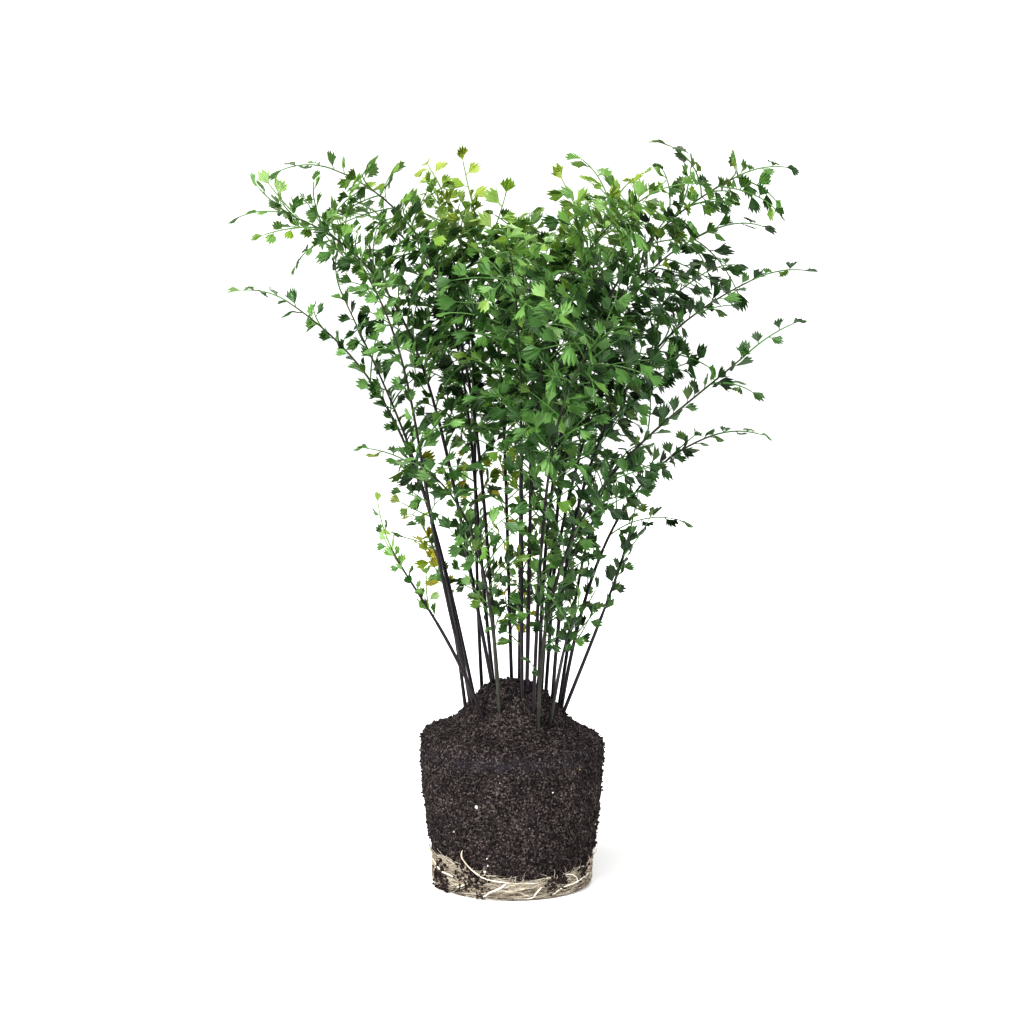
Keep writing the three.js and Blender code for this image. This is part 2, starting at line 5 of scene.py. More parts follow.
import bmesh
import bpy
import numpy as np
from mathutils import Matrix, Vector


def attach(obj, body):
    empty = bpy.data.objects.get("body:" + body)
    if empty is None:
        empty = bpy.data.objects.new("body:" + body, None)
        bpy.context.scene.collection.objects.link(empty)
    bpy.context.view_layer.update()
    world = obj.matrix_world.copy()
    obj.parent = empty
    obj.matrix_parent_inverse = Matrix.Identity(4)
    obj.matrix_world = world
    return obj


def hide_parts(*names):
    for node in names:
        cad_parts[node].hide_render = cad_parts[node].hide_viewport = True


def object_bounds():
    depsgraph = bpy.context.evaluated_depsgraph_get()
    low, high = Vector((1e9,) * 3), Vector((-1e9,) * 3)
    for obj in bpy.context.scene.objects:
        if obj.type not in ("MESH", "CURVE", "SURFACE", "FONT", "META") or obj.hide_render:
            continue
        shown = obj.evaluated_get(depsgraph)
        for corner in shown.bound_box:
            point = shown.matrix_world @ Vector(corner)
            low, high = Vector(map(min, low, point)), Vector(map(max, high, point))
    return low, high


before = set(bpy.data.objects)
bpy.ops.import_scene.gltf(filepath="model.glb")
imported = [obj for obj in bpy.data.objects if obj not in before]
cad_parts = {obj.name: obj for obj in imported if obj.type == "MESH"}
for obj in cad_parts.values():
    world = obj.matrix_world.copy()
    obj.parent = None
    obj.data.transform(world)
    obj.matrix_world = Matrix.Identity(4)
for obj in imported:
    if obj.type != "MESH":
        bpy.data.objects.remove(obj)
cad_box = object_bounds()

# A maidenhair fern on its bare root ball. Lengths are in millimetres until a mesh is built.
MM = 0.001

# ---------------------------------------------------------------- sizes shared with the frame

GAP = 0.3 # between a stem's upper end and the foot of its blade
# Distance from the axis and height of the mound that the stems stand in.
SOIL_MOUND = [(0, 165), (16, 163), (28, 153), (40, 140), (52, 130), (65, 124), (73, 119), (75, 111)]
# Height of the mat's torn edge, every 15 degrees from +X towards +Y.
MAT_EDGE = [23, 22, 20, 18, 19, 21, 20, 18, 20, 23, 25, 26, 27, 28, 30, 28, 25, 20, 17, 15, 18, 19, 20, 22]
EDGE_STEP = 15
EDGE_CORNERS = len(MAT_EDGE)

STEM_DEPTH = 20 # buried length
FOOT_PULL = 0.56 # how long the stem holds its direction at the foot, as a share of its reach
TIP_PULL = 0.36

# The outline of a solid's leaflet, along it and across it as shares of its length.
LEAFLET_OUTLINE = np.array([
    (0.58, -0.4), (0.88, -0.33), (0.76, -0.13), (1, 0.02), (0.78, 0.15), (0.87, 0.36), (0.56, 0.38),
])
LEAFLET_CENTRE = 0.5
LEAFLET_LENGTH = 18.5
LEAFLET_SPREAD = 0.09
LEAFLET_DOME = 1.1
LEAFLET_ANGLE = 64
LEAFLET_ROLL = 26

SPRIG_FOOT = 9 # bare length at the foot
SPRIG_STEP = 10 # from one side leaflet to the next
SPRIG_HALF_WIDTH = 0.8
SPRIG_HALF_HEIGHT = 0.6
NECK_HALF_WIDTH = 0.9
SPRIG_BEND = 0.7 # degrees of droop for each millimetre of length
SPRIG_LEAFLETS = 4
SPRIG_SPACING = 76 # along the midrib of a frond
FEWEST_SPRIGS = 2
MOST_SPRIGS = 4
FIRST_FOOT = 0.3 # where in its stretch of the midrib a sprig begins
FOOT_SPREAD = 0.12
SPRIG_ROLL = 85 # degrees round the stem from the side that faces the light
ROLL_SPREAD = 28
TILT_SPREAD = 0.35
BEND_SPREAD = 0.5
SPRIG_SHRINK = 0.05 # each sprig's leaflets are smaller than the last one's by this share
TIP_SIZE = 0.9
TIP_SINK = 2
KEEP_CLEAR = 5.2 # least distance between points of neighbouring sprigs and stems
REACH = 90
LIGHT_OUTWARD = 0.6 # leaves face outwards and upwards in these shares
LIGHT_UPWARD = 0.8
# Where a sprig meets another, it is turned round its stem, or set steeper or flatter.
TURNS = [0, 22, -22, 44, -44, 66, -66, 90, -90, 115, -115, 140, -140, 165]
SPREADS = [0, -14, 14, -28]
OPEN = 52 # usual angle between a sprig and its stem
TIP_TILTS = [0, 14, -14, 28]
TIP_ROLL = 30
STEM_MARK = 4 # between the points that keep sprigs off a stem
WARM_UP = 4 # draws let go at the start of each stream

# name, foot on the mound, tip, lean at the foot, climb at the tip, bare share, age from 0 old to 1 young
Frond = namedtuple("Frond", "name foot tip lean climb bare age")
FRONDS = [Frond(*row) for row in (
    ("low_left", (-23, -31), (-110, -70, 330), 22, 75, 0.33, 1.0),
    ("far_left_top", (-16, 2), (-225, -20, 556), 11, 8, 0.36, 0.4),
    ("upper_left", (-12, 18), (-196, 50, 590), 4, 6, 0.39, 0.3),
    ("left_inner", (-31, -10), (-160, -60, 560), 16, 45, 0.33, 0.35),
    ("back_left_top", (-14, 30), (-150, 110, 550), 8, 10, 0.36, 0.2),
    ("left_mid", (-34, 6), (-160, 60, 525), 10, 65, 0.33, 0.15),
    ("far_left_mid", (-30, 24), (-230, 80, 495), 12, 25, 0.34, 0.35),
    ("front_left", (-10, -34), (-95, -145, 375), 4, 20, 0.27, 0.3),
    ("front_tall", (8, -24), (-10, -130, 555), 2, 30, 0.32, 0.4),
    ("back_top", (0, 32), (-45, 120, 590), 4, 55, 0.34, 0.9),
    ("front_right", (17, -30), (95, -155, 475), 4, 15, 0.33, 0.35),
    ("front_right_top", (12, -10), (150, -60, 582), 1, 20, 0.36, 0.3),
    ("far_right_top", (22, 0), (232, 30, 594), 1, 18, 0.36, 0.3),
    ("right_upper", (24, 16), (220, 90, 540), 3, 4, 0.36, 0.15),
    ("back_right_upper", (20, 30), (200, 140, 510), 8, 20, 0.36, 0.1),
    ("far_right", (33, 6), (245, 10, 512), 3, 18, 0.32, 0.1),
    ("right_hook", (21, -40), (224, -60, 478), 0, 48, 0.33, 0.05),
    ("right_low", (40, 14), (215, 40, 372), 9, 2, 0.34, 0.1),
    ("right_short", (41, -4), (104, -30, 340), 22, 78, 0.34, 0.1),
    ("front_short", (30, -34), (66, -92, 268), 16, 45, 0.32, 0.2),
    ("back_left", (-24, 38), (-80, 150, 590), 8, 25, 0.34, 0.9),
    ("back_mid", (6, 42), (15, 190, 550), 8, 20, 0.32, 0.5),
    ("back_right", (12, 36), (60, 120, 560), 4, 40, 0.34, 0.8),
    ("back_right_out", (27, 36), (110, 170, 585), 8, 35, 0.34, 0.6),
    ("low_back_left", (-38, 24), (-95, 140, 295), 16, 15, 0.32, 0.3),
    ("low_back_right", (38, 30), (120, 150, 355), 15, 15, 0.32, 0.2),
)]

YOUNG_AGE = 0.7 # fronds younger than this, or older than the next, are sorted apart as young or dark
OLD_AGE = 0.25

# Small or narrow fronds: the size of their leaflets, and the angle their sprigs open to.
NARROW_FRONDS = {
    "low_left": (0.66, 22), "far_left_top": (0.8, 28), "far_left_mid": (0.85, 38), "front_left": (0.85, 40),
    "far_right_top": (0.95, 42), "far_right": (0.85, 38), "right_hook": (0.85, 38), "right_low": (0.8, 26),
    "right_short": (0.75, 28), "front_short": (0.72, 32), "low_back_left": (0.8, 36),
    "low_back_right": (0.8, 36),
}

# Stems that are still partly green at the foot.
GREENISH_STEMS = {"front_left": 0.14, "left_inner": 0.06, "right_hook": 0.12, "front_short": 0.08}

UP = np.array((0.0, 0.0, 1.0))

# ---------------------------------------------------------------- sizes of the finer forms

# A leaflet, in shares of its length.
BLADE_FOOT = 0.17
BLADE_LENGTH = 0.83
BLADE_HALF_ANGLE = 45
BLADE_THICKNESS = 0.03
BLADE_HALF_WIDTH = 0.37
SHOULDER = 0.71 # how far along the outermost teeth end
SHOULDER_ROUND = 1.8 # how squarely the teeth fall away to the shoulders
LEAN_SHARE = 0.3
NOTCH_DEPTH = 0.24
SIDE_SWELL = 1.12
PETIOLE_RADIUS = 0.025
PETIOLE_LENGTH = 0.27
PETIOLE_MIDDLE = 0.105
# teeth, lean of the outline to one side, fold along the middle, hollow of the face, curl of the teeth
LEAFLET_SHAPES = [
    (5, 0, 0.08, 0.03, 0), (5, 0.22, -0.08, 0.05, -0.05), (6, -0.15, 0.14, -0.02, 0.04),
    (6, 0.1, -0.05, 0.06, -0.08), (5, 0.3, 0.20, 0.02, 0.02), (4, -0.1, 0.02, 0.08, -0.06),
    (6, -0.28, -0.12, 0.02, 0), (5, 0.12, 0.12, 0.06, -0.1),
]
VEINS_PER_RADIAN = 46.0

SMOOTH_ANGLE = 50 # edges flatter than this are shaded smooth
# Leaflet colours by place: how far a leaflet belongs to the crown, painted light that makes leaflets lighter
# outwards, and painted shade that makes them darker on the right.
CROWN_BY_HEIGHT = ((480, 575), (0, 1))
CROWN_BY_REACH = ((90, 150), (1, 0.35))
PAINTED_LIGHT_OUTWARD = ((60, 190), (0, 0.15))
SHADED_TO_RIGHT = ((30, 110), (0, 0.2))
YOUNG_CHANCE = 0.74 # draws above this give a young leaflet
YOUNGEST_GREEN = 0.7
USUAL_LEAFLET = 14
# Leaflets low at the back left are yellowing, where a draw is above the chance.
YELLOW_BEHIND = 30
YELLOW_BELOW = 350
YELLOW_LEFT_OF = 30
YELLOW_CHANCE = -0.1

# Radii of a stem, by the share of its length from where it leaves the soil, and of a midrib.
STEM_GIRTH = ((-0.2, 0, 0.06, 1), (1.6, 1.6, 1.5, 0.8))
MIDRIB_GIRTH = ((0, 1), (1.5, 0.45))
TWIG_RADIUS = 0.68
TWIG_SINK = 0.5

# How far the dense foliage reaches from the axis, left and right, by height. Only strands reach past it.
MASS_HEIGHTS = [165, 265, 314, 355, 396, 440, 480, 520, 590]
MASS_LEFT = [45, 72, 88, 96, 112, 137, 167, 187, 220]
MASS_RIGHT = [60, 103, 108, 119, 143, 147, 155, 185, 210]
STRAND_INSET = 22
EDGE_INSET = 14
STRAND_LEAST = 0.15
STRAND_PROBES = 60

# Small sprigs: spacing along the stem, share that grow, leaflets, size, foot's length, spread of their turn.
Growing = namedtuple("Growing", "spacing chance leaflets size foot turn_spread")
MIDDLE_GROWTH = Growing(8.4, 1, 5, 0.94, 9, 60)
STRAND_GROWTH = Growing(7.5, 1, 1, 0.9, 0.5, 25) # single leaflets near a frond's tip
LOW_GROWTH = Growing(10, 0.55, 3, 0.75, 9, 60)
CROWN_GROWTH = Growing(12, 1, 5, 0.62, 7, 45)
LOW_START = 0.18 # how far down its bare part a frond has small growth
CROWN_HEIGHT = 545 # fronds whose tips stand higher than this, near the axis, end in small upright sprigs
CROWN_REACH = 165
CROWN_LENGTH = 75 # how far down from the blade's end they grow
TIP_MARGIN = 4
SMALL_TURN = 80
SMALL_STEP = 9.0 # from one leaflet to the next on a full-size small sprig, less its first millimetre
SMALL_BEND = 0.9
SMALL_BEND_SPREAD = 0.6
SMALL_FOOT_SPREAD = 0.35
SMALL_COUNT_SPREAD = 0.3
SMALL_SIZE_SPREAD = 0.2
SMALL_FACING = (0.75, 0.45, 0.55) # how far small sprigs face outwards, upwards and any way
SMALL_CLEAR = 2.6
SMALL_LEAST = 0.8
CROWDED = 5 # a small sprig nearer than this to a main one moves on by SHIFT
SHIFT = 6
BOX_MARGIN = 4

# The soil's and the mat's outlines, from the axis underneath to the axis on top: distance from it, height.
SOIL_PROFILE = [
    (0, 10), (40, 8), (60, -8), (64, -4), (66.6, 1.5), (67.4, 8), (68.3, 30), (70.3, 50), (72.8, 72),
    (74.8, 96), (75.6, 110), (74.2, 118.5), (65, 123.5), (52, 129.5), (41.5, 140.5), (31, 154),
    (20, 163.5), (8, 165.5), (0, 166),
]
# How closely some of the soil's rings follow the mat's torn edge, and how much others rise on the left.
SOIL_EDGE_RINGS = {0: 0.3, 1: 0.5, 2: 1, 3: 1, 4: 1, 5: 1, 6: 0.35}
SOIL_LEFT_RISE = {10: 5, 11: 6.5, 12: 5, 13: 2}
MAT_PROFILE = [
    (0, 0.9), (30, 0.9), (58, 0.9), (62.5, 1.5), (65, 4), (65.6, 9), (65.8, -1.5), (64.6, 0.4), (62, -1.5),
    (40, -4), (0, -5),
]
MAT_EDGE_RINGS = {6: 1, 7: 1, 8: 1, 9: 0.9, 10: 0.9}
# Lumps, from coarse to fine: kind, span, height, and the noise's own settings.
SOIL_LUMPS = [("CLOUDS", 16, 3.0, {}), ("CLOUDS", 5, 2.2, {"noise_depth": 2}), ("VORONOI", 3.2, 1.6, {}),
              ("CLOUDS", 1.6, 0.9, {})]
MAT_LUMPS = [("CLOUDS", 7, 1.6, {"noise_depth": 2}), ("CLOUDS", 2, 0.9, {})]

CRUMB_COUNT = 6500
CRUMB_SHAPES = 5
CRUMB_ROUGHNESS = 0.32
CRUMB_STRETCH = 0.35
CRUMB_SIZES = (0.45, 0.85) # the smallest half width, and the range above it
CRUMB_RARITY = 2.4 # how rare the large ones are
CRUMB_LIFT = 0.25 # how far a crumb's middle stands out of the soil, as a share of its size
CRUMB_WALL = 66.5 # crumbs lie on the soil outside this distance from the axis, and above this height
CRUMB_LEVEL = 60
CRUMB_TONES = (0.030, 0.075)
CRUMB_CAST = (1.1, 0.95, 0.93)
CLUMP_RADIUS = 66.3
CLUMP_LEAST_HEIGHT = 1.6
CLUMP_SIZES = (0.6, 0.7)
CLUMP_TONES = (0.026, 0.05)
CLUMP_CAST = (1.15, 0.92, 0.85)
SPECK_LIFT = 0.3
FACE_RADIUS = 72

ROOTLET_COUNT = 1500
ROOTLET_BENDS = 5
ROOTLET_FACE = 65.4 # distance from the axis
ROOTLET_REACH = (9, 7) # degrees to each side of a rootlet's middle, and how much that varies
ROOTLET_SLOPE = 0.32 # rise in millimetres for each degree, at the most
STEEP_EVERY = 5 # one rootlet in so many is steeper by STEEPER
STEEPER = 2.2
ROOTLET_WAVE = 1.3
ROOTLET_LOWEST = 0.6
ROOTLET_RADII = (0.16, 0.14)
# The mat's foot is rounded below this height, and a rootlet follows it inward by this share of the depth.
FOOT_HEIGHT = 3.5
FOOT_SLOPE = 0.75
# Distance from the axis by height over the mat's torn edge, where a rootlet lies on the soil.
OVER_EDGE = ((-1, 3, 8), (65.6, 68.2, 69.2))
STRAY_COUNT = 60
STRAY_RADIUS = 0.2
STRAY_FACE = 65.6
STRAY_BENDS = (0, 0.33, 0.66, 1)
STRAY_ROOT = 3 # how far below the edge a stray end begins
STRAY_OUT = 3.6
ROOT_LIFT = 0.35
TUBE_PROBE = 0.02
TUBE_END = 0.35 # a root's ends taper to this share of its radius
TUBE_TAPER = 6
# Clumps of dark soil that hang down over the mat: degrees round the ball, height, spread, count.
DARK_CLUMPS = [(240, 16, 11, 190), (303, 14, 7, 110), (207, 8, 9, 130), (330, 18, 7, 70), (20, 15, 9, 110),
               (95, 16, 10, 130), (150, 18, 9, 110)]
# Specks on the soil: degrees round the ball, height, half width, colour.
SPECKS = [
    (247, 79, 1.5, (0.78, 0.76, 0.72)), (251, 24, 1.3, (0.74, 0.72, 0.68)), (254, 29, 1.0, (0.72, 0.70, 0.66)),
    (252, 34, 0.9, (0.60, 0.58, 0.55)), (316, 104, 0.8, (0.60, 0.45, 0.08)), (281, 62, 0.8, (0.5, 0.47, 0.42)),
    (295, 88, 0.7, (0.55, 0.52, 0.48)), (228, 55, 0.8, (0.42, 0.38, 0.33)), (30, 70, 1.1, (0.72, 0.70, 0.66)),
    (75, 45, 1.3, (0.74, 0.72, 0.68)), (110, 90, 1.0, (0.70, 0.68, 0.64)), (160, 60, 1.2, (0.72, 0.70, 0.66)),
    (345, 50, 0.8, (0.55, 0.52, 0.48)), (190, 95, 0.8, (0.5, 0.47, 0.42)), (262, 98, 0.6, (0.45, 0.40, 0.35)),
]
# White roots: radius, then degrees round the ball, height and distance from the axis of each bend.
WHITE_ROOTS = [
    (0.75, [(193, 22, 66), (202, 19.5, 66), (211, 16.5, 66), (219, 16, 66), (226, 15, 66)]),
    (0.7, [(235, 40, 68.8), (234, 36, 68.6), (235, 32, 68.2), (241, 25, 67.4), (250, 18.5, 66.2), (265, 16, 66),
           (277, 15, 66), (289, 14.5, 66)]),
    (0.8, [(266, 15, 66), (261, 10.5, 66), (255, 7.5, 66), (251, 4, 65.2), (247, 1.5, 63.5)]),
    (0.8, [(291, 11, 66), (287, 6.5, 66), (285, 3, 64.8), (279, 1.5, 63.2)]),
    (0.75, [(339, 12, 66), (330, 11, 66), (321, 9.5, 66), (308, 8, 66), (301, 4, 65.2), (296, 1.5, 63.4)]),
    (0.6, [(306, 16, 66), (310, 18, 66.2), (315, 17.5, 66.4), (321, 14, 66), (323, 10.5, 66), (318, 9, 66),
           (313, 9.5, 66)]),
    (0.65, [(228, 7.5, 66), (233, 9.5, 66), (238, 12.5, 66)]),
    (0.7, [(20, 14, 66), (32, 10, 66), (45, 12, 66), (60, 8, 66)]),
    (0.75, [(90, 20, 66), (101, 14, 66), (115, 12, 66), (128, 5, 65.4)]),
    (0.65, [(150, 9, 66), (160, 13, 66), (172, 11, 66)]),
]

# Soft lights: name, place, size in metres, power.
LIGHT_TARGET = (0, 0, 0.35)
SOFTBOXES = [
    ("left_softbox", (-1.5, -1.9, 1.5), 0.6, 48),
    ("right_softbox", (2.0, -1.3, 1.2), 0.6, 16),
    ("back_softbox", (0.6, 2.2, 1.5), 0.8, 26),
]
SUN_WAY = (0.35, 0.5, -1.0)
SUN_POWER = 1.65
SUN_SPREAD = 50
BACKDROP_LIGHT = 0.96
ROOM_LIGHT = 0.42
CAMERA_PLACE = (0, -2.25, 0.628)
CAMERA_TARGET = (0, 0, 0.305)
CAMERA_LENS = 99.15
CAMERA_SENSOR = 36
FLOOR_SIZE = 12

# Seeds of the random streams.
SMALL_SEED = 101
LOOK_SEED = 11
CRUMB_SEED = 77
ROOTLET_SEED = 78

STREAM_RANGE = 4294967296
STREAM_SEED = 2654435761
STREAM_FACTOR = 1664525
STREAM_STEP = 1013904223


def draw_stream(seed):
    """A repeatable stream of draws between -1 and 1, the same as the one the solids were grown by."""
    state = (seed * STREAM_SEED) % STREAM_RANGE
    for number in itertools.count():
        state = (state * STREAM_FACTOR + STREAM_STEP) % STREAM_RANGE
        if number >= WARM_UP:
            yield 2 * state / STREAM_RANGE - 1


class Draws:
    """Seeded draws between -1 and 1."""

    def __init__(self, seed):
        self.stream = np.random.default_rng(seed)

    def __call__(self):
        return self.stream.uniform(-1, 1)

    def choose(self, things):
        return things[int(self.stream.integers(len(things)))]


# ---------------------------------------------------------------- mesh helpers

def deselect_all():
    if bpy.context.object and bpy.context.object.mode != "OBJECT":
        bpy.ops.object.mode_set(mode="OBJECT")
    bpy.ops.object.select_all(action="DESELECT")


def select_only(piece):
    deselect_all()
    piece.select_set(True)
    bpy.context.view_layer.objects.active = piece


def read_vectors(items, field):
    """One vector of each item, as the rows of an array."""
    values = np.empty(len(items) * 3)
    items.foreach_get(field, values)
    return values.reshape(-1, 3)


def link_new(name, data):
    """A new object that holds the data, in the scene."""
    made = bpy.data.objects.new(name, data)
    bpy.context.collection.objects.link(made)
    return made


class Pattern:
    """One modelled shape, kept as arrays so that copies of it can be bent to their places."""

    def __init__(self, obj):
        mesh = obj.data
        self.points = read_vectors(mesh.vertices, "co")
        self.faces = [tuple(face.vertices) for face in mesh.polygons]
        self.corners = np.array([corner for face in self.faces for corner in face])
        self.sizes = np.array([len(face) for face in self.faces])
        bpy.data.objects.remove(obj, do_unlink=True)


class Growth:
    """Collects bent copies of patterns and builds them as one mesh."""

    def __init__(self):
        self.points, self.corners, self.sizes = [], [], []
        self.slots, self.flat, self.tints = [], [], []
        self.count = 0

    def add(self, pattern, points, slot=0, tint=(0, 0, 0), flat=None):
        """points are the copy's places in millimetres, tint is one colour or one for each point."""
        self.points.append(points)
        self.corners.append(pattern.corners + self.count)
        self.sizes.append(pattern.sizes)
        self.slots.append(np.full(len(pattern.sizes), slot))
        self.flat.append(np.zeros((len(points), 2)) if flat is None else flat)
        self.tints.append(np.broadcast_to(np.array(tint, float), (len(points), 3)))
        self.count += len(points)

    def build(self, name, *materials):
        points = np.concatenate(self.points) * MM
        corners = np.concatenate(self.corners)
        sizes = np.concatenate(self.sizes)
        mesh = bpy.data.meshes.new(name)
        mesh.vertices.add(len(points))
        mesh.vertices.foreach_set("co", points.ravel())
        mesh.loops.add(len(corners))
        mesh.loops.foreach_set("vertex_index", corners)
        mesh.polygons.add(len(sizes))
        mesh.polygons.foreach_set("loop_start", np.concatenate(([0], np.cumsum(sizes)[:-1])))
        for material in materials:
            mesh.materials.append(material)
        mesh.polygons.foreach_set("material_index", np.concatenate(self.slots))
        mesh.update(calc_edges=True)
        mesh.validate()
        flat = np.concatenate(self.flat)
        mesh.uv_layers.new(name="leaf_plan").data.foreach_set("uv", flat[corners].ravel())
        tints = np.concatenate(self.tints)
        colours = np.concatenate((tints, np.ones((len(tints), 1))), axis=1)
        mesh.attributes.new("tint", "FLOAT_COLOR", "POINT").data.foreach_set("color", colours.ravel())
        piece = link_new(name, mesh)
        select_only(piece)
        bpy.ops.object.shade_smooth_by_angle(angle=math.radians(SMOOTH_ANGLE))
        return piece


def dress(piece, slot, *nodes):
    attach(piece, "root")
    if nodes:
        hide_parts(*nodes)
    return piece


# ---------------------------------------------------------------- stems and sprigs, grown as the solids are

def unit(vector):
    return vector / np.linalg.norm(vector)


def square_to(direction, axis):
    return unit(direction - axis * direction.dot(axis))


def turned(vector, axis, angle):
    """vector, square to axis, turned about it."""
    return vector * math.cos(angle) + np.cross(axis, vector) * math.sin(angle)


def light_at(point):
    """The way leaves face: up, and out from the middle of the plant."""
    return unit(point * (1, 1, 0)) * LIGHT_OUTWARD + UP * LIGHT_UPWARD


def mound_height(radius):
    radii, heights = zip(*SOIL_MOUND)
    return float(np.interp(radius, radii, heights))


class StemLine:
    """The line of a stem, from the soil to the tip of its frond, in one upright plane."""

    def __init__(self, frond, owner):
        self.frond, self.owner = frond, owner
        self.leaf_size, self.opening = NARROW_FRONDS.get(frond.name, (1, OPEN))
        start = np.array((*frond.foot, mound_height(math.hypot(*frond.foot))))
        end = np.array(frond.tip, float)
        self.out = unit((end - start) * (1, 1, 0))
        self.across = np.cross(UP, self.out)
        self.length = np.linalg.norm(end - start)
        low = start + self.heading(90 - frond.lean) * self.length * FOOT_PULL
        high = end - self.heading(frond.climb) * self.length * TIP_PULL
        self.corners = np.array((start, low, high, end))
        self.step = 1 / (3 * FOOT_PULL * self.length)
        sprig = SPRIG_FOOT + SPRIG_STEP * (SPRIG_LEAFLETS - 1) + LEAFLET_LENGTH * TIP_SIZE
        self.blade_end = 1 - sprig / (3 * TIP_PULL * self.length)
        self.blade_start = frond.bare + GAP * self.step

    def heading(self, degrees):
        return self.out * math.cos(math.radians(degrees)) + UP * math.sin(math.radians(degrees))

    def point_at(self, t):
        """Place at t, from 0 at the soil to 1 at the tip. Below 0 it is buried."""
        if t < 0:
            return np.array((1 - 3 * t, 3 * t, 0, 0)) @ self.corners
        return np.array(((1 - t) ** 3, 3 * t * (1 - t) ** 2, 3 * t * t * (1 - t), t ** 3)) @ self.corners

    def heading_at(self, t):
        s = max(t, 0)
        spans = np.diff(self.corners, axis=0)
        return unit(np.array(((1 - s) ** 2, 2 * s * (1 - s), s * s)) @ spans)

    def tube(self, pattern, first, last, girth):
        """The rod pattern's points, bent along the stem from t = first to t = last."""
        places = []
        for x, y, z in pattern.points:
            t = first + (last - first) * z
            over = np.cross(self.across, self.heading_at(t))
            places.append(self.point_at(t) + (self.across * x + over * y) * np.interp(t, *girth))
        return np.array(places)


class Leaflet:
    """One leaflet on a flat sprig that runs along +X: its foot, three directions and its length."""

    def __init__(self, x, side, angle, length, roll):
        self.foot = np.array((x, 0.0, 0.0))
        self.side = side
        self.length = length
        self.heading = np.array((math.cos(angle), side * math.sin(angle), 0.0))
        tilt = math.cos(roll)
        self.across = np.array((math.sin(angle) * tilt, -side * math.cos(angle) * tilt, math.sin(roll)))
        self.normal = np.cross(self.across, self.heading) * side

    def at(self, plan):
        """Places of points given along, across and above the leaflet, as shares of its length."""
        return self.foot + (plan @ np.array((self.heading, self.across, self.normal))) * self.length

    def probes(self):
        outline = self.at(np.column_stack((LEAFLET_OUTLINE, np.zeros(len(LEAFLET_OUTLINE)))))
        middle = self.at(np.array((LEAFLET_CENTRE, 0, LEAFLET_DOME / self.length)))
        return np.vstack((outline, (outline + middle) / 2, middle))


def leaflet_row(count, size, draw):
    """Length and roll of each leaflet of a sprig."""
    return [
        (LEAFLET_LENGTH * size * (1 + LEAFLET_SPREAD * next(draw)), math.radians(LEAFLET_ROLL * next(draw)))
        for _ in range(count)
    ]


def set_leaflets(row, first_side, foot=SPRIG_FOOT, step=SPRIG_STEP):
    """Leaflets in turn on the two sides of a sprig, and one at its end."""
    leaflets = []
    for i, (length, roll) in enumerate(row):
        last = i == len(row) - 1
        side = 1 if last else (-first_side if i % 2 else first_side)
        angle = 0 if last else math.radians(LEAFLET_ANGLE)
        leaflets.append(Leaflet(foot + i * step, side, angle, length, roll))
    return leaflets


def rail_probes(leaflets):
    """Points down the sprig's own midrib."""
    ridge, rail = SPRIG_HALF_HEIGHT, SPRIG_HALF_WIDTH
    points = [(0, 0, ridge), (0, 0, -ridge), (0, rail, 0), (0, -rail, 0)]
    for leaflet in leaflets:
        x = leaflet.foot[0]
        points += [(x, 0, ridge), (x, 0, -ridge)]
        if leaflet is leaflets[-1]:
            points += [(x, rail, 0), (x, -rail, 0)]
        else:
            points += [(x + neck, leaflet.side * rail, 0) for neck in (-NECK_HALF_WIDTH, NECK_HALF_WIDTH)]
    return np.array(points, float)


def carry(points, bend, origin, along, normal):
    """Bends a flat sprig into its droop and carries it to its place."""
    x, y, z = points.T
    turn = bend * x
    forward = np.sin(turn) / bend + z * np.sin(turn)
    upward = (np.cos(turn) - 1) / bend + z * np.cos(turn)
    across = np.cross(normal, along)
    return origin + np.outer(forward, along) + np.outer(y, across) + np.outer(upward, normal)


class Crowd:
    """Points taken up by stems and sprigs, each with the frond that owns it."""

    def __init__(self):
        self.points = np.zeros((0, 3))
        self.owners = np.zeros(0, int)

    def add(self, points, owner):
        self.points = np.vstack((self.points, points))
        self.owners = np.append(self.owners, np.full(len(points), owner))

    def near(self, origin, reach):
        close = ((self.points - origin) ** 2).sum(axis=1) < reach ** 2
        return self.points[close], self.owners[close]


def least_distance(points, others, origin):
    if not len(others):
        return math.inf
    here, there = points - origin, others - origin
    squares = (here ** 2).sum(axis=1)[:, None] + (there ** 2).sum(axis=1) - 2 * here @ there.T
    return math.sqrt(max(squares.min(), 0))


def side_ways(origin, heading, roll, tilt, opening, light=None):
    """Ways a side sprig may grow: origin, direction, upper side, and the side of its first leaflet."""
    light = light_at(origin) if light is None else light
    outer = square_to(light, heading)
    beside = np.cross(heading, outer)
    for spread in SPREADS:
        for turn in TURNS:
            angle = math.radians(roll + turn)
            outward = outer * math.cos(angle) + beside * math.sin(angle)
            lean = math.radians(opening + spread)
            along = outward * math.sin(lean) + heading * math.cos(lean)
            normal = square_to(light + tilt, along)
            first_side = -1 if np.cross(normal, along).dot(heading) > 0 else 1
            yield origin, along, normal, first_side


def tip_ways(origin, heading, roll):
    outer = square_to(light_at(origin), heading)
    for tilt in TIP_TILTS:
        for turn in TURNS:
            normal = turned(outer, heading, math.radians(roll + turn))
            yield origin, turned(heading, normal, math.radians(tilt)), normal, 1


class Sprig:
    """A placed sprig."""

    def __init__(self, leaflets, bend, origin, along, normal):
        self.leaflets, self.bend = leaflets, bend
        self.origin, self.along, self.normal = origin, along, normal

    def place(self, points):
        return carry(points, self.bend, self.origin, self.along, self.normal)


def inside_box(points):
    low, high = (np.array(corner) / MM for corner in cad_box)
    return (points > low - BOX_MARGIN).all() and (points < high + BOX_MARGIN).all()


